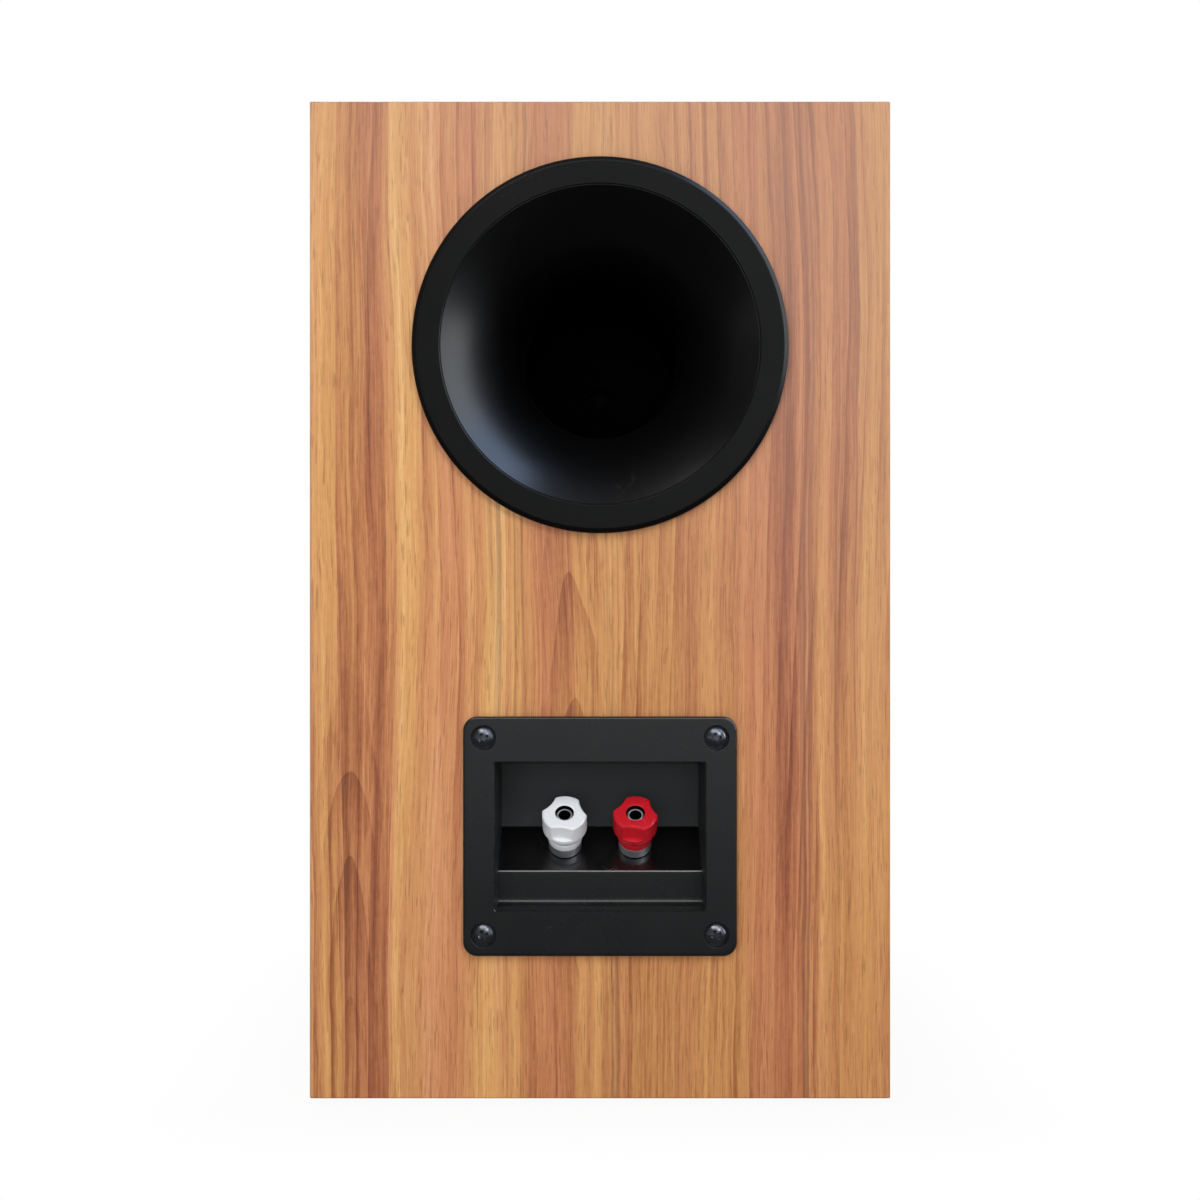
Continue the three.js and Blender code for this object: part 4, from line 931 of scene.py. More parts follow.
def side_profile(rounding):
    """Side view (y from the plate's face, z from its middle) of the recess, corners rounded."""
    half = RECESS_HEIGHT / 2
    deep_line = RIDGE_Z + (RECESS_DEPTH - LAND_DEPTH)
    return softened([
        (0, half), (-RECESS_DEPTH, half - RECESS_DRAFT, 1.5 * rounding), (-RECESS_DEPTH, deep_line),
        (-LAND_DEPTH, RIDGE_Z, rounding), (-LAND_DEPTH, -half + RECESS_DRAFT, 1.5 * rounding), (0, -half),
    ], steps=6)


def across_prism(name, profile, width, centre, face):
    """A side-view profile carried across the cup's width."""
    rings = [[(centre.x + x, face + p.x, centre.z + p.y) for p in profile] for x in (-width / 2, width / 2)]
    return loft_mesh(name, rings)


def screw_places():
    return [(x * SCREW_SPACING[0] / 2, z * SCREW_SPACING[1] / 2) for z in (1, -1) for x in (1, -1)]


def build_cup():
    low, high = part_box("terminal_cup")
    face = high.y
    proud = face - REAR_FACE
    width, height = high.x - low.x, PLATE_HEIGHT
    centre = Vector((CUP_MIDDLE.x, 0, high.z - height / 2))

    def plate_ring(inset, y):
        outline = rounded_outline(width - 2 * inset, height - 2 * inset, PLATE_CORNER - inset, 12)
        return upright_ring(centre, y, outline)

    rings = [plate_ring(0.6 * MM, REAR_FACE), plate_ring(0.1 * MM, REAR_FACE + 0.55 * MM)]
    rings += [plate_ring(inset, face - drop) for inset, drop in eased_edge(PLATE_EDGE, 8)]
    rings.append(plate_ring(2 * PLATE_EDGE, face))
    cup = new_object("terminal_cup_moulding", loft_mesh("plate", rings), cup_black)

    half = RECESS_HEIGHT / 2 + CUP_WALL
    ridge = RIDGE_Z - CUP_WALL * math.tan(POST_TILT / 2)
    tub_profile = [Vector(p) for p in (
        (-proud, half), (-RECESS_DEPTH - CUP_WALL, half),
        (-RECESS_DEPTH - CUP_WALL, ridge + RECESS_DEPTH - LAND_DEPTH), (-LAND_DEPTH - CUP_WALL, ridge),
        (-LAND_DEPTH - CUP_WALL, -half), (-proud, -half),
    )]
    tub = across_prism("tub", tub_profile, RECESS_WIDTH + 2 * CUP_WALL, centre, face)
    cup = cut(cup, [tub], "UNION")

    profile = side_profile(RIDGE_ROUNDING)
    profile[0].x = profile[-1].x = 2 * MM
    prism = new_object("recess", across_prism("recess", profile, 2 * RECESS_WIDTH, centre, face), cup_black)
    mouth = [(outset, -drop) for drop, outset in eased_edge(MOUTH_ROUNDING, 6)]
    drafted = []
    for outset, y in [(MOUTH_ROUNDING, MM)] + mouth + [(-RECESS_DRAFT, -RECESS_DEPTH - MM)]:
        corner = RECESS_CORNER + max(outset, 0)
        outline = rounded_outline(RECESS_WIDTH + 2 * outset, RECESS_HEIGHT + 2 * outset, corner, 8)
        drafted.append(upright_ring(centre, face + y, outline))
    return cup, centre, face, prism, drafted


def finish_cup():
    cup, centre, face, prism, drafted = build_cup()
    shaped = cut(prism, [loft_mesh("drafted", drafted)], "INTERSECT")
    recess = shaped.data.copy()
    bpy.data.objects.remove(shaped)
    steps = [(COUNTERBORE_RADIUS + COUNTERBORE_EASE, y) for y in (face + MM, face)]
    for drop, outset in eased_edge(COUNTERBORE_EASE, 4)[1:]:
        steps.append((COUNTERBORE_RADIUS + outset, face - drop))
    steps.append((COUNTERBORE_RADIUS - 0.1 * MM, face - COUNTERBORE_DEPTH))
    tools = [recess]
    for x, z in screw_places():
        tools.append(loft_mesh("counterbore", [
            upright_ring(centre, y, [(x + a, z + b) for a, b in circle_outline(radius, 64)])
            for radius, y in steps
        ]))
    cup = cut(cup, tools)
    origin = Vector((centre.x, face, centre.z))
    slope = Vector((0, 1, 1)).normalized()

    def on_floor(normal, point):
        place = point - origin
        sloped = place.z > RIDGE_Z - RIDGE_ROUNDING and normal.dot(slope) > FACING
        return sloped and place.y < 0.5 * MM - LAND_DEPTH and abs(normal.x) < 1 - FACING

    def on_wall(normal, point):
        place = point - origin
        inside = -RECESS_DEPTH - MM < place.y < -MOUTH_ROUNDING and abs(place.x) < RECESS_WIDTH / 2 + MM
        upright = place.z > RIDGE_Z and max(abs(normal.x), abs(normal.y), -normal.z) > FACING
        return inside and not on_floor(normal, point) and (upright or abs(normal.x) > FACING)

    # painted shade: the sloped floor of the recess takes the near-black copy of the cup plastic
    repaint(cup, floor_black, on_floor)
    # painted light: the recess walls take the lighter copy of the cup plastic
    repaint(cup, back_black, on_wall)
    seat(cup, "cabinet", "cup_plastic", "terminal_cup")
    return centre, face


# ---- Plate screws, by Geometry Nodes ----
CROSS_REACH, CROSS_WIDTH, CROSS_DEPTH = 1.95 * MM, 0.95 * MM, 1.0 * MM


def make_screw_tree():
    """Copies one screw to each point, turned by that point's own angle."""
    tree, given, result = geometry_tree(
        "cross_head_screws",
        [("Screw", "NodeSocketObject"), ("Turn Seed", "NodeSocketInt"), ("Material", "NodeSocketMaterial")],
    )
    screw = add_node(tree, "GeometryNodeObjectInfo", Object=given.outputs["Screw"])
    turn = add_node(
        tree, "FunctionNodeRandomValue", {"data_type": "FLOAT"}, _2=-0.5, _3=0.6,
        Seed=given.outputs["Turn Seed"],
    )
    angles = add_node(tree, "ShaderNodeCombineXYZ", Y=turn.outputs[1])
    rotation = add_node(tree, "FunctionNodeEulerToRotation", Euler=angles.outputs[0])
    copies = add_node(
        tree, "GeometryNodeInstanceOnPoints", Points=given.outputs["Geometry"],
        Instance=screw.outputs["Geometry"], Rotation=rotation.outputs[0],
    )
    finish_tree(tree, given, result, copies.outputs[0])
    return tree


SCREWS = make_screw_tree()


def cross_recess(top):
    """Two crossed tapering slots, as one tool for each."""
    tools = []
    for along_x in (True, False):
        rings = []
        for height, share in ((top + 0.5 * MM, 1.15), (top - CROSS_DEPTH, 0.45)):
            a, b = CROSS_REACH * share, CROSS_WIDTH * (0.6 + 0.4 * share) / 2
            if not along_x:
                a, b = b, a
            rings.append([(-a, height, -b), (a, height, -b), (a, height, b), (-a, height, b)])
        tools.append(loft_mesh("slot", rings))
    return tools


def cross_head_screw(head_radius, head_height, shank_radius, length):
    """One screw at the origin with its head's underside at 0 and its head along +Y."""
    sphere = (head_radius ** 2 + head_height ** 2) / (2 * head_height)
    spread = math.asin(head_radius / sphere) * 0.97
    dome = [
        (sphere * math.sin(angle), head_height - sphere * (1 - math.cos(angle))) for angle in arc(spread, 0, 12)
    ]
    corners = [(0, -length), (shank_radius, -length + 2 * MM), (shank_radius, 0)]
    corners += [(head_radius, 0), (head_radius, 0.25 * MM, 0.08 * MM)] + dome[1:-1] + [(0, head_height)]
    screw = turned("screw", corners, screw_black, 64, Matrix.Rotation(-QUARTER, 4, "X"))
    return cut(screw, cross_recess(head_height))


def place_screws(name, screw, points, seed, nodes):
    """A copy of the screw at each point; the screw itself is removed."""
    smooth(screw.data)
    mesh = bpy.data.meshes.new(name)
    mesh.from_pydata(points, [], [])
    holder = new_object(name, mesh, screw_black)
    run_tree(holder, SCREWS, {"Screw": screw, "Turn Seed": seed, "Material": screw_black})
    piece = baked(holder, name, screw_black)
    bpy.data.objects.remove(screw)
    seat(piece, "cabinet", "black_screw", *nodes)


def build_plate_screws(centre, face):
    seat_face = face - COUNTERBORE_DEPTH + 0.1 * MM
    screw = cross_head_screw(3.5 * MM, 1.6 * MM, 1.5 * MM, 11 * MM)
    points = [(centre.x + x, seat_face, centre.z + z) for x, z in screw_places()]
    nodes = [f"plate_screw_{i + 1}" for i in range(4)]
    place_screws("plate_screw_set", screw, points, 3, nodes)


# ---- Binding posts ----
COLLAR_RADIUS = 4.9 * MM
COLLAR_TOP = 3.5 * MM
RUNNING_GAP = 0.3 * MM
INSERT_RADIUS, INSERT_START, INSERT_END = 3.9 * MM, 4.1 * MM, 13.3 * MM
STUD_RADIUS = 2.45 * MM
STUD_END = 14.7 * MM
STUD_TAIL = 12 * MM
PLUG_BORE = 2.0 * MM
PLUG_LIP = 1.75 * MM  # spun-in edge at the mouth of the plug bore
PLUG_BORE_DEPTH = 9 * MM
THREAD_PITCH = 0.7 * MM
THREAD_DEPTH = 0.22 * MM
THREAD_MARGIN = 0.4 * MM  # plain at each end of the stud
ON_AXIS = 0.0001 * MM  # radius of the ring that closes an end
CAP_START = 3.8 * MM
CAP_FACETS = 168
CAP_HEIGHT = 11.9 * MM
CAP_SKIRT = (5.1 * MM, 2.0 * MM)
CAP_TAPER = 2.9 * MM
CAP_CHAMFER = 0.45 * MM
CAP_HEAD_RADIUS = 6.6 * MM
CAP_HOLE_RADIUS = 2.75 * MM
CAP_LIP = 0.25 * MM
CAP_CEILING = 2.1 * MM
CAP_BORE = 4.2 * MM
SCALLOPS = 3
SCALLOP_RADIUS = 9.4 * MM
SCALLOP_DEPTH = 1.25 * MM
SCALLOP_HEIGHT = 5.4 * MM
SCALLOP_TURN = 0.13  # the front scallop turns a little to one side


def polar_solid(name, rings, material, place):
    """A closed skin of rings, each a list of (radius, height) round the axis; the last joins the first."""
    count = len(rings[0])
    points = []
    for ring in rings:
        for i, (radius, height) in enumerate(ring):
            angle = TURN * i / count
            points.append((radius * math.cos(angle), radius * math.sin(angle), height))
    faces = []
    for row in range(len(rings)):
        above = (row + 1) % len(rings)
        for i in range(count):
            after = (i + 1) % count
            faces.append((row * count + i, row * count + after, above * count + after, above * count + i))
    piece = new_object(name, mesh_from(name, points, faces), material)
    piece.data.transform(place)
    return piece


def scalloped_radius(angle, body):
    """The head's radius where three round-bottomed grips are cut into it, with eased corners."""
    centre = CAP_HEAD_RADIUS - SCALLOP_DEPTH + SCALLOP_RADIUS
    sector = TURN / SCALLOPS
    offset = (angle - QUARTER + SCALLOP_TURN + sector / 2) % sector - sector / 2
    reach = SCALLOP_RADIUS ** 2 - (centre * math.sin(offset)) ** 2
    if reach <= 0:
        return body
    grip = centre * math.cos(offset) - math.sqrt(reach)
    ease = 0.1 * MM
    lower = min(body, grip)
    return lower - ease * math.log(math.exp((lower - body) / ease) + math.exp((lower - grip) / ease))


def cap_rings():
    count = CAP_FACETS
    angles = [TURN * i / count for i in range(count)]
    top = CAP_HEIGHT
    shelf = top - SCALLOP_HEIGHT
    skirt_radius, skirt_height = CAP_SKIRT
    groove_radius, groove_end = skirt_radius - 0.35 * MM, skirt_height + 0.5 * MM

    def plain(radius, height):
        return [(radius, height)] * count

    def gripped(radius, height, share=1.0, inset=0.0):
        ring = []
        for angle in angles:
            cut_radius = scalloped_radius(angle, radius)
            ring.append((radius + (cut_radius - radius) * share - inset, height))
        return ring

    profile = softened([
        (CAP_BORE, 0), (skirt_radius, 0, 0.25 * MM), (skirt_radius, skirt_height, 0.15 * MM),
        (groove_radius, skirt_height, 0.05 * MM), (groove_radius, groove_end, 0.05 * MM),
        (skirt_radius, groove_end, 0.15 * MM), (CAP_HEAD_RADIUS, groove_end + CAP_TAPER, 0.6 * MM),
        (CAP_HEAD_RADIUS, shelf - 0.05 * MM, 0.05 * MM), (CAP_BORE, shelf),
    ])[:-1]
    rings = [plain(point.x, point.y) for point in profile[:-4]]
    for share, lift in (
        (0.0, -0.12), (0.03, -0.05), (0.1, -0.01), (0.5, 0.0), (0.9, 0.01), (0.98, 0.06), (1.0, 0.2),
    ):
        rings.append(gripped(CAP_HEAD_RADIUS, shelf + lift * MM, share))
    for height in (shelf + 1.5 * MM, shelf + 3 * MM, top - 1.2 * MM):
        rings.append(gripped(CAP_HEAD_RADIUS, height))
    rim = softened([
        (0, -MM), (0, -CAP_CHAMFER, 0.16 * MM), (CAP_CHAMFER, 0, 0.16 * MM), (2 * MM, 0),
    ])[1:-1]
    for point in rim:
        rings.append(gripped(CAP_HEAD_RADIUS, top + point.y, 1.0, point.x))
    edge = gripped(CAP_HEAD_RADIUS, top, 1.0, CAP_CHAMFER + 0.2 * MM)
    lip = CAP_HOLE_RADIUS + CAP_LIP
    for share in (0.3, 0.7):
        rings.append([(point[0] + (lip - point[0]) * share, top) for point in edge])
    for drop, outset in eased_edge(CAP_LIP, 4):
        rings.append(plain(CAP_HOLE_RADIUS + outset, top - drop))
    ceiling = top - CAP_CEILING
    return rings + [plain(CAP_HOLE_RADIUS, ceiling), plain(CAP_BORE, ceiling), plain(CAP_BORE, 0)]


def thread_rings():
    """A stud with a real helical thread outside and a plug bore inside."""
    count = 40
    rings = [[(ON_AXIS, -STUD_TAIL)] * count, [(STUD_RADIUS - 0.3 * MM, -STUD_TAIL)] * count]
    steps_per_turn = 6
    turns = int((STUD_END + STUD_TAIL - 2 * THREAD_MARGIN) / THREAD_PITCH)
    for step in range(turns * steps_per_turn + 1):
        height = -STUD_TAIL + THREAD_MARGIN + step * THREAD_PITCH / steps_per_turn
        ring = []
        for i in range(count):
            phase = (height / THREAD_PITCH - i / count) % 1
            ring.append((STUD_RADIUS - THREAD_DEPTH * abs(2 * phase - 1), height))
        rings.append(ring)
    rings += [[(radius, height)] * count for radius, height in (
        (STUD_RADIUS - 0.12 * MM, STUD_END - 0.2 * MM), (STUD_RADIUS - 0.2 * MM, STUD_END - 0.04 * MM),
        (STUD_RADIUS - 0.32 * MM, STUD_END), (PLUG_BORE - 0.1 * MM, STUD_END - 0.03 * MM),
        (PLUG_LIP + 0.06 * MM, STUD_END - 0.12 * MM), (PLUG_LIP, STUD_END - 0.25 * MM),
        (PLUG_LIP, STUD_END - 2 * MM), (PLUG_BORE, STUD_END - 2.2 * MM),
        (PLUG_BORE, STUD_END - PLUG_BORE_DEPTH), (ON_AXIS, STUD_END - PLUG_BORE_DEPTH - MM),
    )]
    return rings


def post_place(colour):
    """Where a post stands: its foot on the sloping floor and its own +Z along the joint's axis."""
    joint = next(j for j in frame["joints"] if j["name"] == colour + "_cap_turn")
    axis = Vector(joint["axis"]).normalized()
    side = Vector((1, 0, 0))
    up = axis.cross(side)
    turn = Matrix((side, up, axis)).transposed().to_4x4()
    return Matrix.Translation(joint["pos_m"]) @ turn


def build_post(colour, cap_material):
    place = post_place(colour)
    stud = polar_solid(colour + "_threaded_stud", thread_rings(), satin_nickel, Matrix.Identity(4))
    # painted shade: the plug bore inside the nickel stud is painted black
    bore_end = STUD_END - PLUG_BORE_DEPTH - 2 * MM
    repaint(stud, tube_black, lambda normal, point: (
        point.xy.length < PLUG_BORE + 0.05 * MM and bore_end < point.z < STUD_END - 0.15 * MM))
    stud.data.transform(place)
    seat(stud, "cabinet", "nickel", colour + "_post_stud")
    hole = STUD_RADIUS + RUNNING_GAP
    collar = turned(colour + "_turned_collar", [
        (hole, RUNNING_GAP), (COLLAR_RADIUS, RUNNING_GAP, 0.15 * MM), (COLLAR_RADIUS, COLLAR_TOP, 0.35 * MM),
        (hole, COLLAR_TOP, 0.1 * MM),
    ], satin_nickel, 96, place)
    seat(collar, "cabinet", "nickel", colour + "_post_collar")
    insert = turned(colour + "_brass_insert", [
        (hole, INSERT_START), (INSERT_RADIUS, INSERT_START, 0.2 * MM), (INSERT_RADIUS, INSERT_END, 0.2 * MM),
        (hole, INSERT_END),
    ], brass, 64, place)
    seat(insert, colour + "_insert", "brass", colour + "_post_insert")
    cap = polar_solid(colour + "_screw_cap", cap_rings(), cap_material, Matrix.Translation((0, 0, CAP_START)))
    # painted shade: the wall of the cap's plug hole, above its ceiling, is painted black
    ceiling = CAP_START + CAP_HEIGHT - CAP_CEILING
    repaint(cap, tube_black, lambda normal, point: (
        point.xy.length < CAP_HOLE_RADIUS + 0.03 * MM and point.z > ceiling))
    cap.data.transform(place)
    seat(cap, colour + "_cap", colour + "_cap", colour + "_post_cap")


# ---- Grille ----
CLOTH_EDGE = 2.2 * MM
CLOTH_THICKNESS = 0.6 * MM
GRILLE_GAP = 0.5 * MM
FRAME_BAR = 14 * MM
FRAME_CORNER = 3.4 * MM
CROSSBAR = 8 * MM
PEG_RADIUS = 3 * MM
WOOFER_AXIS = middle_of("woofer_basket")
TWEETER_AXIS = middle_of("tweeter_faceplate")
WOOFER_RIM = 71.0  # in millimetres, as the drivers' profiles are
TWEETER_RIM = 50.0
REBATE = 4.3 * MM  # depth of the drivers' seats in the baffle


def build_grille():
    low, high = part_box("grille_cloth")
    width, height = high.x - low.x, high.z - low.z
    centre = middle_of("grille_cloth")

    def ring(inset, y):
        corner = max(4 * MM - inset, 0.8 * MM)
        return upright_ring(centre, y, rounded_outline(width - 2 * inset, height - 2 * inset, corner, 8))

    rings = [ring(0, high.y), ring(0, (high.y + low.y) / 2)]
    rings += [ring(inset, low.y + drop) for inset, drop in eased_edge(CLOTH_EDGE, 6)]
    # the stretched cloth dips a little where no bar backs it
    for inset, dip in ((5, 0.0), (10, 0.02), (14, 0.06), (20, 0.22), (32, 0.36), (50, 0.46), (70, 0.5)):
        rings.append(ring(inset * MM, low.y + dip * MM))
    mesh = bpy.data.meshes.new("grille_cloth_sheet")
    points, faces = loft_skin(rings, (len(rings) - 1,))
    mesh.from_pydata(points, [], faces)
    with edited(mesh) as shell:
        bmesh.ops.recalc_face_normals(shell, faces=shell.faces)
        front = max(shell.faces, key=lambda face: face.calc_area())
        if front.normal.y > 0:
            bmesh.ops.reverse_faces(shell, faces=shell.faces)
    sheet = new_object("grille_cloth_sheet", mesh, cloth_black)
    thick = sheet.modifiers.new("thickness", "SOLIDIFY")
    thick.thickness = CLOTH_THICKNESS
    thick.offset = -1
    sheet = baked(sheet, "grille_cloth_sheet", cloth_black)
    sheet = seat(sheet, "grille", "grille_cloth", "grille_cloth")


def build_grille_frame():
    """Moulded frame with a crossbar and four push-in pegs, its front edges rounded under the cloth."""
    low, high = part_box("grille_frame")
    width, height = high.x - low.x, high.z - low.z
    centre = middle_of("grille_frame")
    back = BAFFLE_FACE - GRILLE_GAP
    front = low.y
    rings = [(1.2, front), (0.35, front + 0.35 * MM), (0, front + 1.2 * MM), (0, back - 0.4 * MM), (0.4, back)]
    body = lofted("grille_frame_body", [
        upright_ring(centre, y, rounded_outline(
            width - 2 * inset * MM, height - 2 * inset * MM, FRAME_CORNER - inset * MM, 8))
        for inset, y in rings
    ], frame_black)
    bar_middle = (WOOFER_AXIS.z + WOOFER_RIM * MM + TWEETER_AXIS.z - TWEETER_RIM * MM) / 2
    openings = [
        (low.z + FRAME_BAR, bar_middle - CROSSBAR / 2), (bar_middle + CROSSBAR / 2, high.z - FRAME_BAR),
    ]
    tools = []
    for bottom, top in openings:
        middle = Vector((centre.x, 0, (bottom + top) / 2))
        rings = [(1.6, front - MM), (1.6, front), (0.3, front + 1.3 * MM), (0, front + 3 * MM), (0, back + MM)]
        tools.append(loft_mesh("grille_window", [
            upright_ring(middle, y, rounded_outline(
                width - 2 * FRAME_BAR + 2 * outset * MM, top - bottom + 2 * outset * MM, 4 * MM, 8))
            for outset, y in rings
        ]))
    body = cut(body, tools)
    pegs = []
    for side in (-1, 1):
        for level in (-1, 1):
            peg = turned("peg", [
                (0, -6 * MM), (PEG_RADIUS, -6 * MM), (PEG_RADIUS, -0.1 * MM),
                (PEG_RADIUS, high.y - back - MM, 0.4 * MM), (PEG_RADIUS - MM, high.y - back, 0.4 * MM),
                (0, high.y - back),
            ], frame_black, 32, facing_rear(
                centre.x + side * (width - FRAME_BAR) / 2, back, centre.z + level * (height - FRAME_BAR) / 2))
            pegs.append(peg.data.copy())
            bpy.data.objects.remove(peg)
    body = cut(body, pegs, "UNION")
    body.name = body.data.name = "grille_frame_moulding"
    seat(body, "grille", "cup_plastic", "grille_frame")


# ---- Front baffle ----
def build_baffle():
    """Painted board with a bevelled face, cut out and rebated for the two drivers."""
    low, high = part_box("front_baffle")
    centre = middle_of("front_baffle")
    bevel = 1.5 * MM
    rings = [(0, high.y), (0, low.y + bevel + 0.2 * MM), (0.06 * MM, low.y + bevel)]
    rings += [(bevel - 0.15 * MM, low.y + 0.12 * MM), (bevel + 0.1 * MM, low.y)]
    board = lofted("painted_baffle", [
        [(centre.x + x * (high.x - low.x - 2 * inset), y, centre.z + z * (high.z - low.z - 2 * inset))
         for x, z in ((-0.5, -0.5), (0.5, -0.5), (0.5, 0.5), (-0.5, 0.5))]
        for inset, y in rings
    ], baffle_black)
    tools = []
    for axis, body_radius, rim_radius in ((WOOFER_AXIS, 59.3, WOOFER_RIM), (TWEETER_AXIS, 37.3, TWEETER_RIM)):
        tools.append(round_tool("driver_hole", body_radius * MM, low.y + MM, high.y + MM, axis))
        tools.append(round_tool("driver_rebate", (rim_radius + 0.3) * MM, low.y - MM, low.y + REBATE, axis))
    for name in frame["nodes"]:
        if name.endswith("peg_socket"):
            left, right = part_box(name)
            radius, end = (right.x - left.x) / 2 + 0.3 * MM, right.y + 0.3 * MM
            tools.append(round_tool("peg_hole", radius, low.y - MM, end, middle_of(name)))
    board = cut(board, tools)
    seat(board, "cabinet", "black_board", "front_baffle")


# ---- Drivers: each profile point is (radius, depth behind the baffle's face, rounding), in millimetres ----
CONE_RIM, CONE_NECK = 46.5, 13.6
CONE_START, CONE_FALL, CONE_CURVE = 2.6, 20, 2.4
WINDOW_RADIUS = 52 * MM  # where a basket window's width is measured
WINDOW_REACH = (38 * MM, 66 * MM)  # how far in and out its tool goes


def driver_piece(name, axis, profile, material, facets=128):
    corners = [
        (radius * MM, -depth * MM, *(size * MM for size in rounding)) for radius, depth, *rounding in profile
    ]
    return turned(name, corners, material, facets, facing_front(0, BAFFLE_FACE, axis.z))


def build_driver_parts(driver, axis, parts):
    """Each part's name and node begin with the driver's; the rest is as seat and driver_piece take it."""
    for name, profile, material, facets, body, slot, node in parts:
        piece = driver_piece(f"{driver}_{name}", axis, profile, material, facets)
        seat(piece, body, slot, f"{driver}_{node}")


def skin_profile(line, thickness):
    """A sheet's closed section, from its middle line of (radius, depth)."""
    near = [(radius, depth - thickness / 2) for radius, depth in line]
    far = [(radius, depth + thickness / 2) for radius, depth in reversed(line)]
    return near + far


def half_roll(inner, outer, height, depth, steps=24):
    middle, half = (inner + outer) / 2, (outer - inner) / 2
    angles = arc(math.pi, 0, steps)
    return [(middle + half * math.cos(angle), depth - height * math.sin(angle)) for angle in angles]


def dome_profile(radius, height, rim, thickness):
    """Front and rear of a shallow dome whose rim lies at a depth."""
    sphere = (radius ** 2 + height ** 2) / (2 * height)
    spread = math.asin(radius / sphere)

    def line(depth, angles):
        top = depth - height
        return [(sphere * math.sin(angle), top + sphere * (1 - math.cos(angle))) for angle in angles]

    return line(rim, arc(0, spread, 20)) + line(rim + thickness, arc(spread, 0, 20))


def winding(surface, wire_radius, start, pitch, rows):
    """Rows of round wire, as half circles one after the other, on a surface at a radius."""
    return [
        (surface + wire_radius * math.cos(angle), start + (row + 0.5 + 0.5 * math.sin(angle)) * pitch)
        for row in range(rows) for angle in arc(-QUARTER, QUARTER, 6)
    ]


def coil_profile(inner, wall, wire_radius, start, wound_from, end):
    """A thin former with its winding as rows of round wire."""
    outer = inner + wall
    rows = max(4, round((end - wound_from) / 0.9))
    rows_of_wire = winding(outer, wire_radius, end, (wound_from - end) / rows, rows)
    return [(inner, start), (inner, end), (outer, end)] + rows_of_wire + [(outer, start)]


def washer_profile(inner, outer, start, end, rounding=0.4):
    return [(inner, start, 0.2), (inner, end, 0.2), (outer, end, rounding), (outer, start, rounding)]


def yoke_profile(vent, pole, plate, pole_start, plate_start, plate_end):
    return [
        (vent, pole_start, 0.3), (pole, pole_start, 0.3), (pole, plate_start), (plate, plate_start, 0.4),
        (plate, plate_end, 0.6), (vent, plate_end, 0.3),
    ]


def cone_depth(radius):
    """The cone falls CONE_FALL from rim to neck, with a slight outward curve."""
    share = (CONE_RIM - radius) / (CONE_RIM - CONE_NECK)
    return CONE_START + CONE_FALL * share - CONE_CURVE * math.sin(math.pi * share)


def basket_windows():
    """Six rounded openings through the basket's sloping wall."""
    tools = []
    for i in range(6):
        rings = []
        for radius in WINDOW_REACH:
            ring = []
            for along, depth in rounded_outline(0.68 * WINDOW_RADIUS, 18 * MM, 3 * MM, 6):
                angle = math.pi * i / 3 + along / WINDOW_RADIUS
                ring.append((
                    radius * math.cos(angle), BAFFLE_FACE + 18 * MM + depth,
                    WOOFER_AXIS.z + radius * math.sin(angle),
                ))
            rings.append(ring)
        tools.append(loft_mesh("basket_window", rings))
    return tools


def build_woofer():
    cabinet, moving = "cabinet", "woofer_diaphragm"
    basket = driver_piece("woofer_basket_casting", WOOFER_AXIS, [
        (71, 0, 0.8), (71, 4, 0.3), (59, 4), (59, 6, 0.8), (43, 34, 2), (43, 39, 0.6), (31.7, 39, 0.3),
        (31.7, 36.5, 0.3), (36.5, 36.5), (36.5, 31.1, 0.3), (40.8, 31.1), (40.8, 29.2, 0.4), (56, 5, 0.4),
        (56, 1.6, 0.3), (63.1, 1.6), (63.1, 0, 0.5),
    ], frame_black)
    seat(cut(basket, basket_windows()), cabinet, "cup_plastic", "woofer_basket")
    roll = skin_profile(half_roll(46.8, 57, 5, 1.15) + [(62.5, 1.15)], 0.7)
    cone = skin_profile([(radius, cone_depth(radius)) for radius in arc(CONE_RIM, CONE_NECK, 32)], 1.0)
    ripples = []
    for share in arc(0.06, 0.94, 72):
        wave = math.sin(share * TURN * 4.5) * min(1, 12 * min(share, 1 - share))
        ripples.append((13.5 + 27 * share, 30 + 1.2 * wave))
    spider = skin_profile([(13.5, 30.0)] + ripples + [(40.5, 30.0)], 0.8)
    coil = coil_profile(12.7, 0.5, 0.7, 22.6, 36, 47)
    plate, magnet = washer_profile(14.4, 38, 39, 44), washer_profile(22, 45, 44, 59, 0.9)
    yoke = yoke_profile(4, 12.2, 41, 39, 59, 64)
    build_driver_parts("woofer", WOOFER_AXIS, [
        ("roll_surround", roll, roll_rubber, 128, cabinet, "roll_rubber", "surround"),
        ("paper_cone", cone, cone_pulp, 128, moving, "cone_pulp", "cone"),
        ("dust_dome", dome_profile(17, 8, 18.37, 0.6), cone_pulp, 96, moving, "cone_pulp", "dust_cap"),
        ("rippled_spider", spider, spider_cloth, 96, cabinet, "spider_cloth", "spider"),
        ("wound_coil", coil, copper_wire, 64, moving, "copper_wire", "voice_coil"),
        ("front_plate", plate, zinc_steel, 128, cabinet, "zinc_steel", "top_plate"),
        ("ring_magnet", magnet, ferrite_grey, 128, cabinet, "ferrite", "magnet"),
        ("pole_and_plate", yoke, zinc_steel, 128, cabinet, "zinc_steel", "yoke"),
    ])
    build_driver_screws("woofer_screw_set", WOOFER_AXIS, 67.05 * MM, 6, QUARTER, 5)


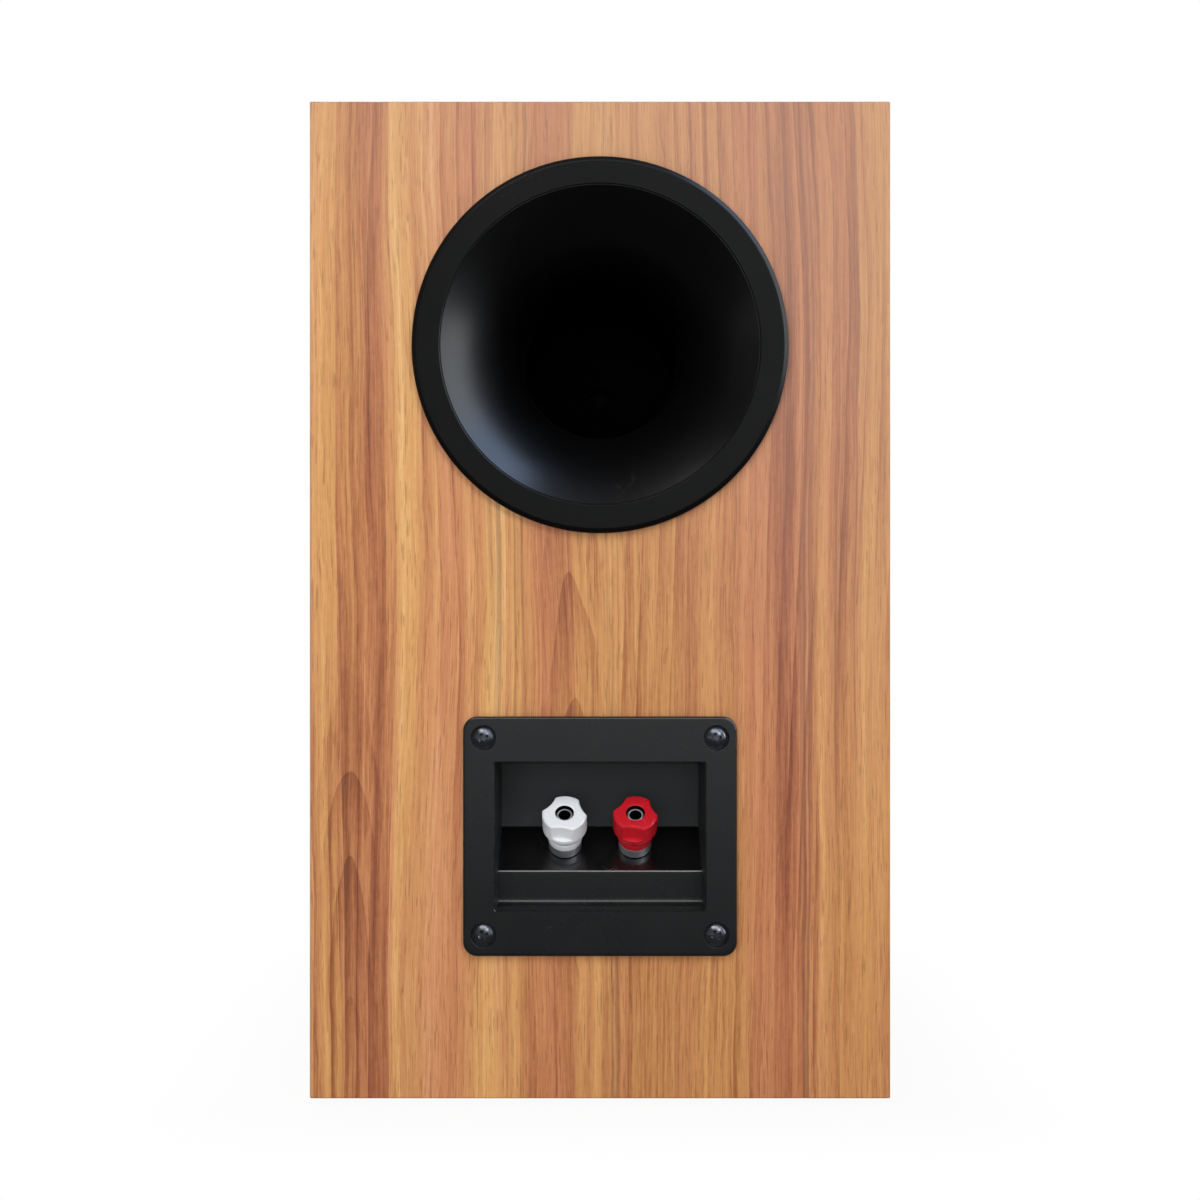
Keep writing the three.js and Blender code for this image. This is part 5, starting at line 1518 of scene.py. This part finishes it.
def build_tweeter():
    cabinet, moving = "cabinet", "tweeter_diaphragm"
    horn = [(30 - 13 * math.sin(angle), 3 * (1 - math.cos(angle))) for angle in arc(0, QUARTER, 16)] + [
        (17, 4, 0.2), (20.3, 4), (20.3, 6), (33, 6, 0.3), (33, 4), (50, 4, 0.2), (50, 0.5, 0.35),
        (49.5, 0, 0.35),
    ]
    roll = skin_profile(half_roll(12.9, 16, 1.4, 4.55, 16) + [(20, 4.55)], 0.5)
    coil = coil_profile(11.8, 0.5, 0.7, 5.35, 6.5, 10.5)
    plate, magnet = washer_profile(13.5, 33, 6, 10), washer_profile(18, 35, 10, 20, 0.8)
    yoke = yoke_profile(4, 11.3, 33, 6, 20, 24)
    build_driver_parts("tweeter", TWEETER_AXIS, [
        ("horn_plate", horn, cup_black, 128, cabinet, "cup_plastic", "faceplate"),
        ("silk_surround", roll, dome_silk, 128, cabinet, "dome_silk", "surround"),
        ("silk_dome", dome_profile(12.6, 6, 4.55, 0.5), dome_silk, 128, moving, "dome_silk", "dome"),
        ("wound_coil", coil, copper_wire, 64, moving, "copper_wire", "voice_coil"),
        ("front_plate", plate, zinc_steel, 96, cabinet, "zinc_steel", "top_plate"),
        ("ring_magnet", magnet, ferrite_grey, 96, cabinet, "ferrite", "magnet"),
        # the yoke is steel, painted near-black as painted shade
        ("pole_and_plate", yoke, yoke_black, 96, cabinet, "zinc_steel", "yoke"),
    ])
    build_driver_screws("tweeter_screw_set", TWEETER_AXIS, 43 * MM, 4, QUARTER / 2, 8)


def build_driver_screws(name, axis, radius, count, first, seed):
    """Pan-head screws round a driver's rim, facing the front."""
    screw = cross_head_screw(2.9 * MM, 1.35 * MM, 1.4 * MM, 10 * MM)
    screw.data.transform(Matrix.Rotation(math.pi, 4, "Z"))
    angles = [first + TURN * i / count for i in range(count)]
    points = [(radius * math.cos(angle), BAFFLE_FACE, axis.z + radius * math.sin(angle)) for angle in angles]
    place_screws(name, screw, points, seed, [])


# ---- Inside the cabinet ----
PADDING_EDGE = 9 * MM  # how far in from its edges the wadding is thinner


def build_padding(side):
    """A pad of wadding on a side wall: flat at the wall, crowned and a little lumpy on its free face."""
    node = side + "_padding"
    low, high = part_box(node)
    outward, wall = (-1, low.x) if side == "left" else (1, high.x)
    thickness, length, height = high.x - low.x, high.y - low.y, high.z - low.z
    middle = middle_of(node)
    rings = [(1.5 * MM, 0.0), (0.3 * MM, 1.2 * MM), (0.0, 3 * MM)]
    for angle in arc(0, QUARTER, 6)[1:]:
        rise = 3 * MM + (thickness - 4.5 * MM) * math.sin(angle)
        rings.append((PADDING_EDGE * (1 - math.cos(angle)), rise))
    reach = min(length, height) / 2 - 2 * MM
    rings += [(inset, thickness - 1.5 * MM) for inset in arc(PADDING_EDGE + 3 * MM, reach, 9)]
    points = []
    for inset, rise in rings:
        ring = []
        corner = max(9 * MM - inset, 1.2 * MM)
        for y, z in rounded_outline(length - 2 * inset, height - 2 * inset, corner, 10):
            lump = 0.0
            if rise > 5 * MM:
                lump = 1.2 * MM * bumpy.noise(Vector((y * 55, z * 55, outward * 3.0)))
            ring.append((wall - outward * min(rise + lump, thickness), middle.y + y, middle.z + z))
        points.append(ring)
    pad = seat(lofted(side + "_wadding_pad", points, wadding_white), "cabinet", "wadding", node)


def eased_copy(node, material, slot, ease):
    """The CAD shape with its flat faces made whole and its edges eased."""
    mesh = close_outward(frame["nodes"][node].data.copy())
    with edited(mesh) as shell:
        bmesh.ops.dissolve_limit(shell, angle_limit=math.radians(1), verts=shell.verts, edges=shell.edges)
    name = "eased_" + node
    blank = new_object(name, mesh, material)
    modifier = blank.modifiers.new("ease", "BEVEL")
    modifier.width = ease
    modifier.segments = 2
    modifier.limit_method = "ANGLE"
    modifier.angle_limit = math.radians(40)
    seat(baked(blank, name, material), "cabinet", slot, node)


def build_inductor():
    """A bobbin wound with thick copper wire."""
    low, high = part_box("woofer_inductor")
    middle = middle_of("woofer_inductor")
    height, rim, wound, core, flange = high.z - low.z, (high.x - low.x) / 2, 16.4 * MM, 6 * MM, 1.5 * MM
    rows = 12
    corners = [(core, 0, 0.3 * MM), (rim, 0, 0.5 * MM), (rim, flange, 0.5 * MM)]
    corners += winding(wound, 0.6 * MM, flange, (height - 2 * flange) / rows, rows)
    corners += [(rim, height - flange, 0.5 * MM), (rim, height, 0.5 * MM), (core, height, 0.3 * MM)]
    coil = turned("wound_inductor", corners, copper_wire, 96, Matrix.Translation((middle.x, middle.y, low.z)))
    seat(coil, "cabinet", "copper_wire", "woofer_inductor")


def build_inside():
    build_padding("left")
    build_padding("right")
    build_inductor()
    eased = [
        ("window_brace", bare_board, "bare_board", 0.6),
        ("crossover_board", circuit_green, "circuit_board", 0.2),
        ("tweeter_capacitor", sleeve_black, "component_body", 0.8),
        ("tweeter_resistor", cement_white, "resistor_cement", 0.5),
    ]
    for colour in ("white", "red"):
        eased.append((colour + "_post_tag", brass, "brass", 0.1))
        eased.append((colour + "_post_nut", zinc_steel, "zinc_steel", 0.3))
    for place in ("lower_left", "lower_right", "upper_left", "upper_right"):
        eased.append((place + "_peg_socket", foot_rubber, "foot_rubber", 0.2))
    for node, material, slot, ease in eased:
        eased_copy(node, material, slot, ease * MM)


# ---- Studio ----
def look_at(obj, target):
    direction = Vector(target) - obj.location
    obj.rotation_euler = direction.to_track_quat("-Z", "Y").to_euler()


def area_light(name, place, target, size, watts, colour=(1, 1, 1)):
    data = bpy.data.lights.new(name, "AREA")
    data.shape = "RECTANGLE"
    data.size, data.size_y = size
    data.energy = watts
    data.color = colour
    light = bpy.data.objects.new(name, data)
    light.location = place
    bpy.context.scene.collection.objects.link(light)
    look_at(light, target)
    return light


ROOM_GLOSS = (0.18, 0.6)  # brightness of the dim room in gloss, on its left and right
PORT_GLINT = (0, 0.1, 0.22)  # what the lights that make the flare's glints are aimed at
FLOOR_REACH = 12.0
FOOTPRINT = (0.085, 0.115)  # half the speaker's width and depth, round which the floor darkens


def studio_light(tree, seen_in_gloss, fill):
    """Strength of the studio: 1 where it is seen, less where only its light arrives.
    Gloss and glass show the same white behind the speaker, and a dimmer room on its port side."""
    path = add_node(tree, "ShaderNodeLightPath").outputs
    mirrored = larger(path["Is Glossy Ray"], path["Is Transmission Ray"])
    shown = times_plus(mirrored, minus(seen_in_gloss, fill), fill)
    return add_node(
        tree, "ShaderNodeMix", {"data_type": "FLOAT"}, _0=path["Is Camera Ray"], _2=shown, _3=1.0,
    ).outputs[0]


def dimmed(camera_side, room):
    """White behind the speaker, and the dim room in front of its port."""
    return times_plus(camera_side, minus(room, 1.0), 1.0)


def build_world():
    world = bpy.data.worlds.new("studio")
    world.use_nodes = True
    tree = world.node_tree
    direction = split(tree, add_node(tree, "ShaderNodeTexCoord").outputs["Generated"])
    camera_side = smooth_range(direction["Y"], -0.4, 0.1)
    room = smooth_range(direction["X"], -0.16, 0.1, ROOM_GLOSS[1], ROOM_GLOSS[0])
    room = times(room, smooth_range(direction["Z"], 0.15, 0.6, 1.0, 0.3))
    high = smooth_range(direction["Z"], -0.1, 0.9, 0.3, 0.5)
    fill = times(high, times_plus(camera_side, -0.5, 1.0))
    strength = studio_light(tree, dimmed(camera_side, room), fill)
    wire(tree.nodes["Background"], Strength=strength, Color=(1, 1, 1, 1))
    bpy.context.scene.world = world


def build_floor():
    material = bpy.data.materials.new("studio_floor")
    material.use_nodes = True
    tree = material.node_tree
    tree.nodes.clear()
    place = split(tree, object_place(tree))
    camera_side = smooth_range(place["Y"], -0.2, 0.15)
    room = smooth_range(place["Y"], 0.5, 1.9, 0.02, 1.1)
    strength = studio_light(tree, dimmed(camera_side, room), 0.0)
    diffuse = add_node(tree, "ShaderNodeBsdfDiffuse", Color=(0.8, 0.8, 0.8, 1))
    glow = add_node(tree, "ShaderNodeEmission", Color=(1, 1, 1, 1), Strength=strength)
    path = add_node(tree, "ShaderNodeLightPath").outputs
    seen = larger(larger(path["Is Camera Ray"], path["Is Glossy Ray"]), path["Is Transmission Ray"])
    # the floor darkens a little beside the speaker
    beside, behind = (
        power(larger(minus(magnitude(place[axis]), reach), 0.0), 2.0)
        for axis, reach in zip(("X", "Y"), FOOTPRINT)
    )
    share = smooth_range(calc("SQRT", plus(beside, behind)), 0.0, 0.07, 0.95, 1.0)
    mixed = add_node(
        tree, "ShaderNodeMixShader", _0=times(seen, share), _1=diffuse.outputs[0], _2=glow.outputs[0],
    )
    add_node(tree, "ShaderNodeOutputMaterial", Surface=mixed.outputs[0])
    mesh = bpy.data.meshes.new("studio_floor")
    corners = [(x * FLOOR_REACH, y * FLOOR_REACH, 0) for x, y in ((-1, -1), (1, -1), (1, 1), (-1, 1))]
    mesh.from_pydata(corners, [], [(0, 1, 2, 3)])
    new_object("studio_floor", mesh, material)


def build_lights():
    port_side = (0, REAR_FACE, CABINET_MIDDLE.z)
    for name, place, size, watts, colour in (
        ("key_light", (-0.9, 0.27, 0.5), (0.5, 0.7), 5.2, (0.9, 0.95, 1.0)),
        ("sky_light", (-0.62, 0.3, 0.98), (0.5, 0.5), 5.6, (0.5, 0.68, 1.0)),
        ("far_light", (0.36, 0.6, 0.92), (0.35, 0.3), 0.9, (1.0, 0.96, 0.9)),
    ):
        # seen in gloss alone
        area_light(name, place, PORT_GLINT, size, watts, colour).visible_diffuse = False
    area_light("port_side_light", (-0.5, 1.1, 0.75), port_side, (0.4, 0.3), 2.5)
    area_light("upper_light", (0.1, 0.85, 0.95), port_side, (0.9, 0.4), 4.2)
    area_light("fill_light", (0.25, 1.3, 0.15), port_side, (0.9, 0.8), 6.4).visible_glossy = False
    area_light("grille_side_light", (0.5, -1.2, 0.9), (0, BAFFLE_FACE, CABINET_MIDDLE.z), (0.8, 0.8), 8.0)


def build_studio():
    build_world()
    build_floor()
    build_lights()


build_cabinet()
build_feet()
build_port()
cup_centre, cup_face = finish_cup()
build_plate_screws(cup_centre, cup_face)
build_post("white", cap_white)
build_post("red", cap_red)
build_grille()
build_grille_frame()
build_baffle()
build_woofer()
build_tweeter()
build_inside()
build_studio()

bpy.context.scene.view_settings.view_transform = "Standard"
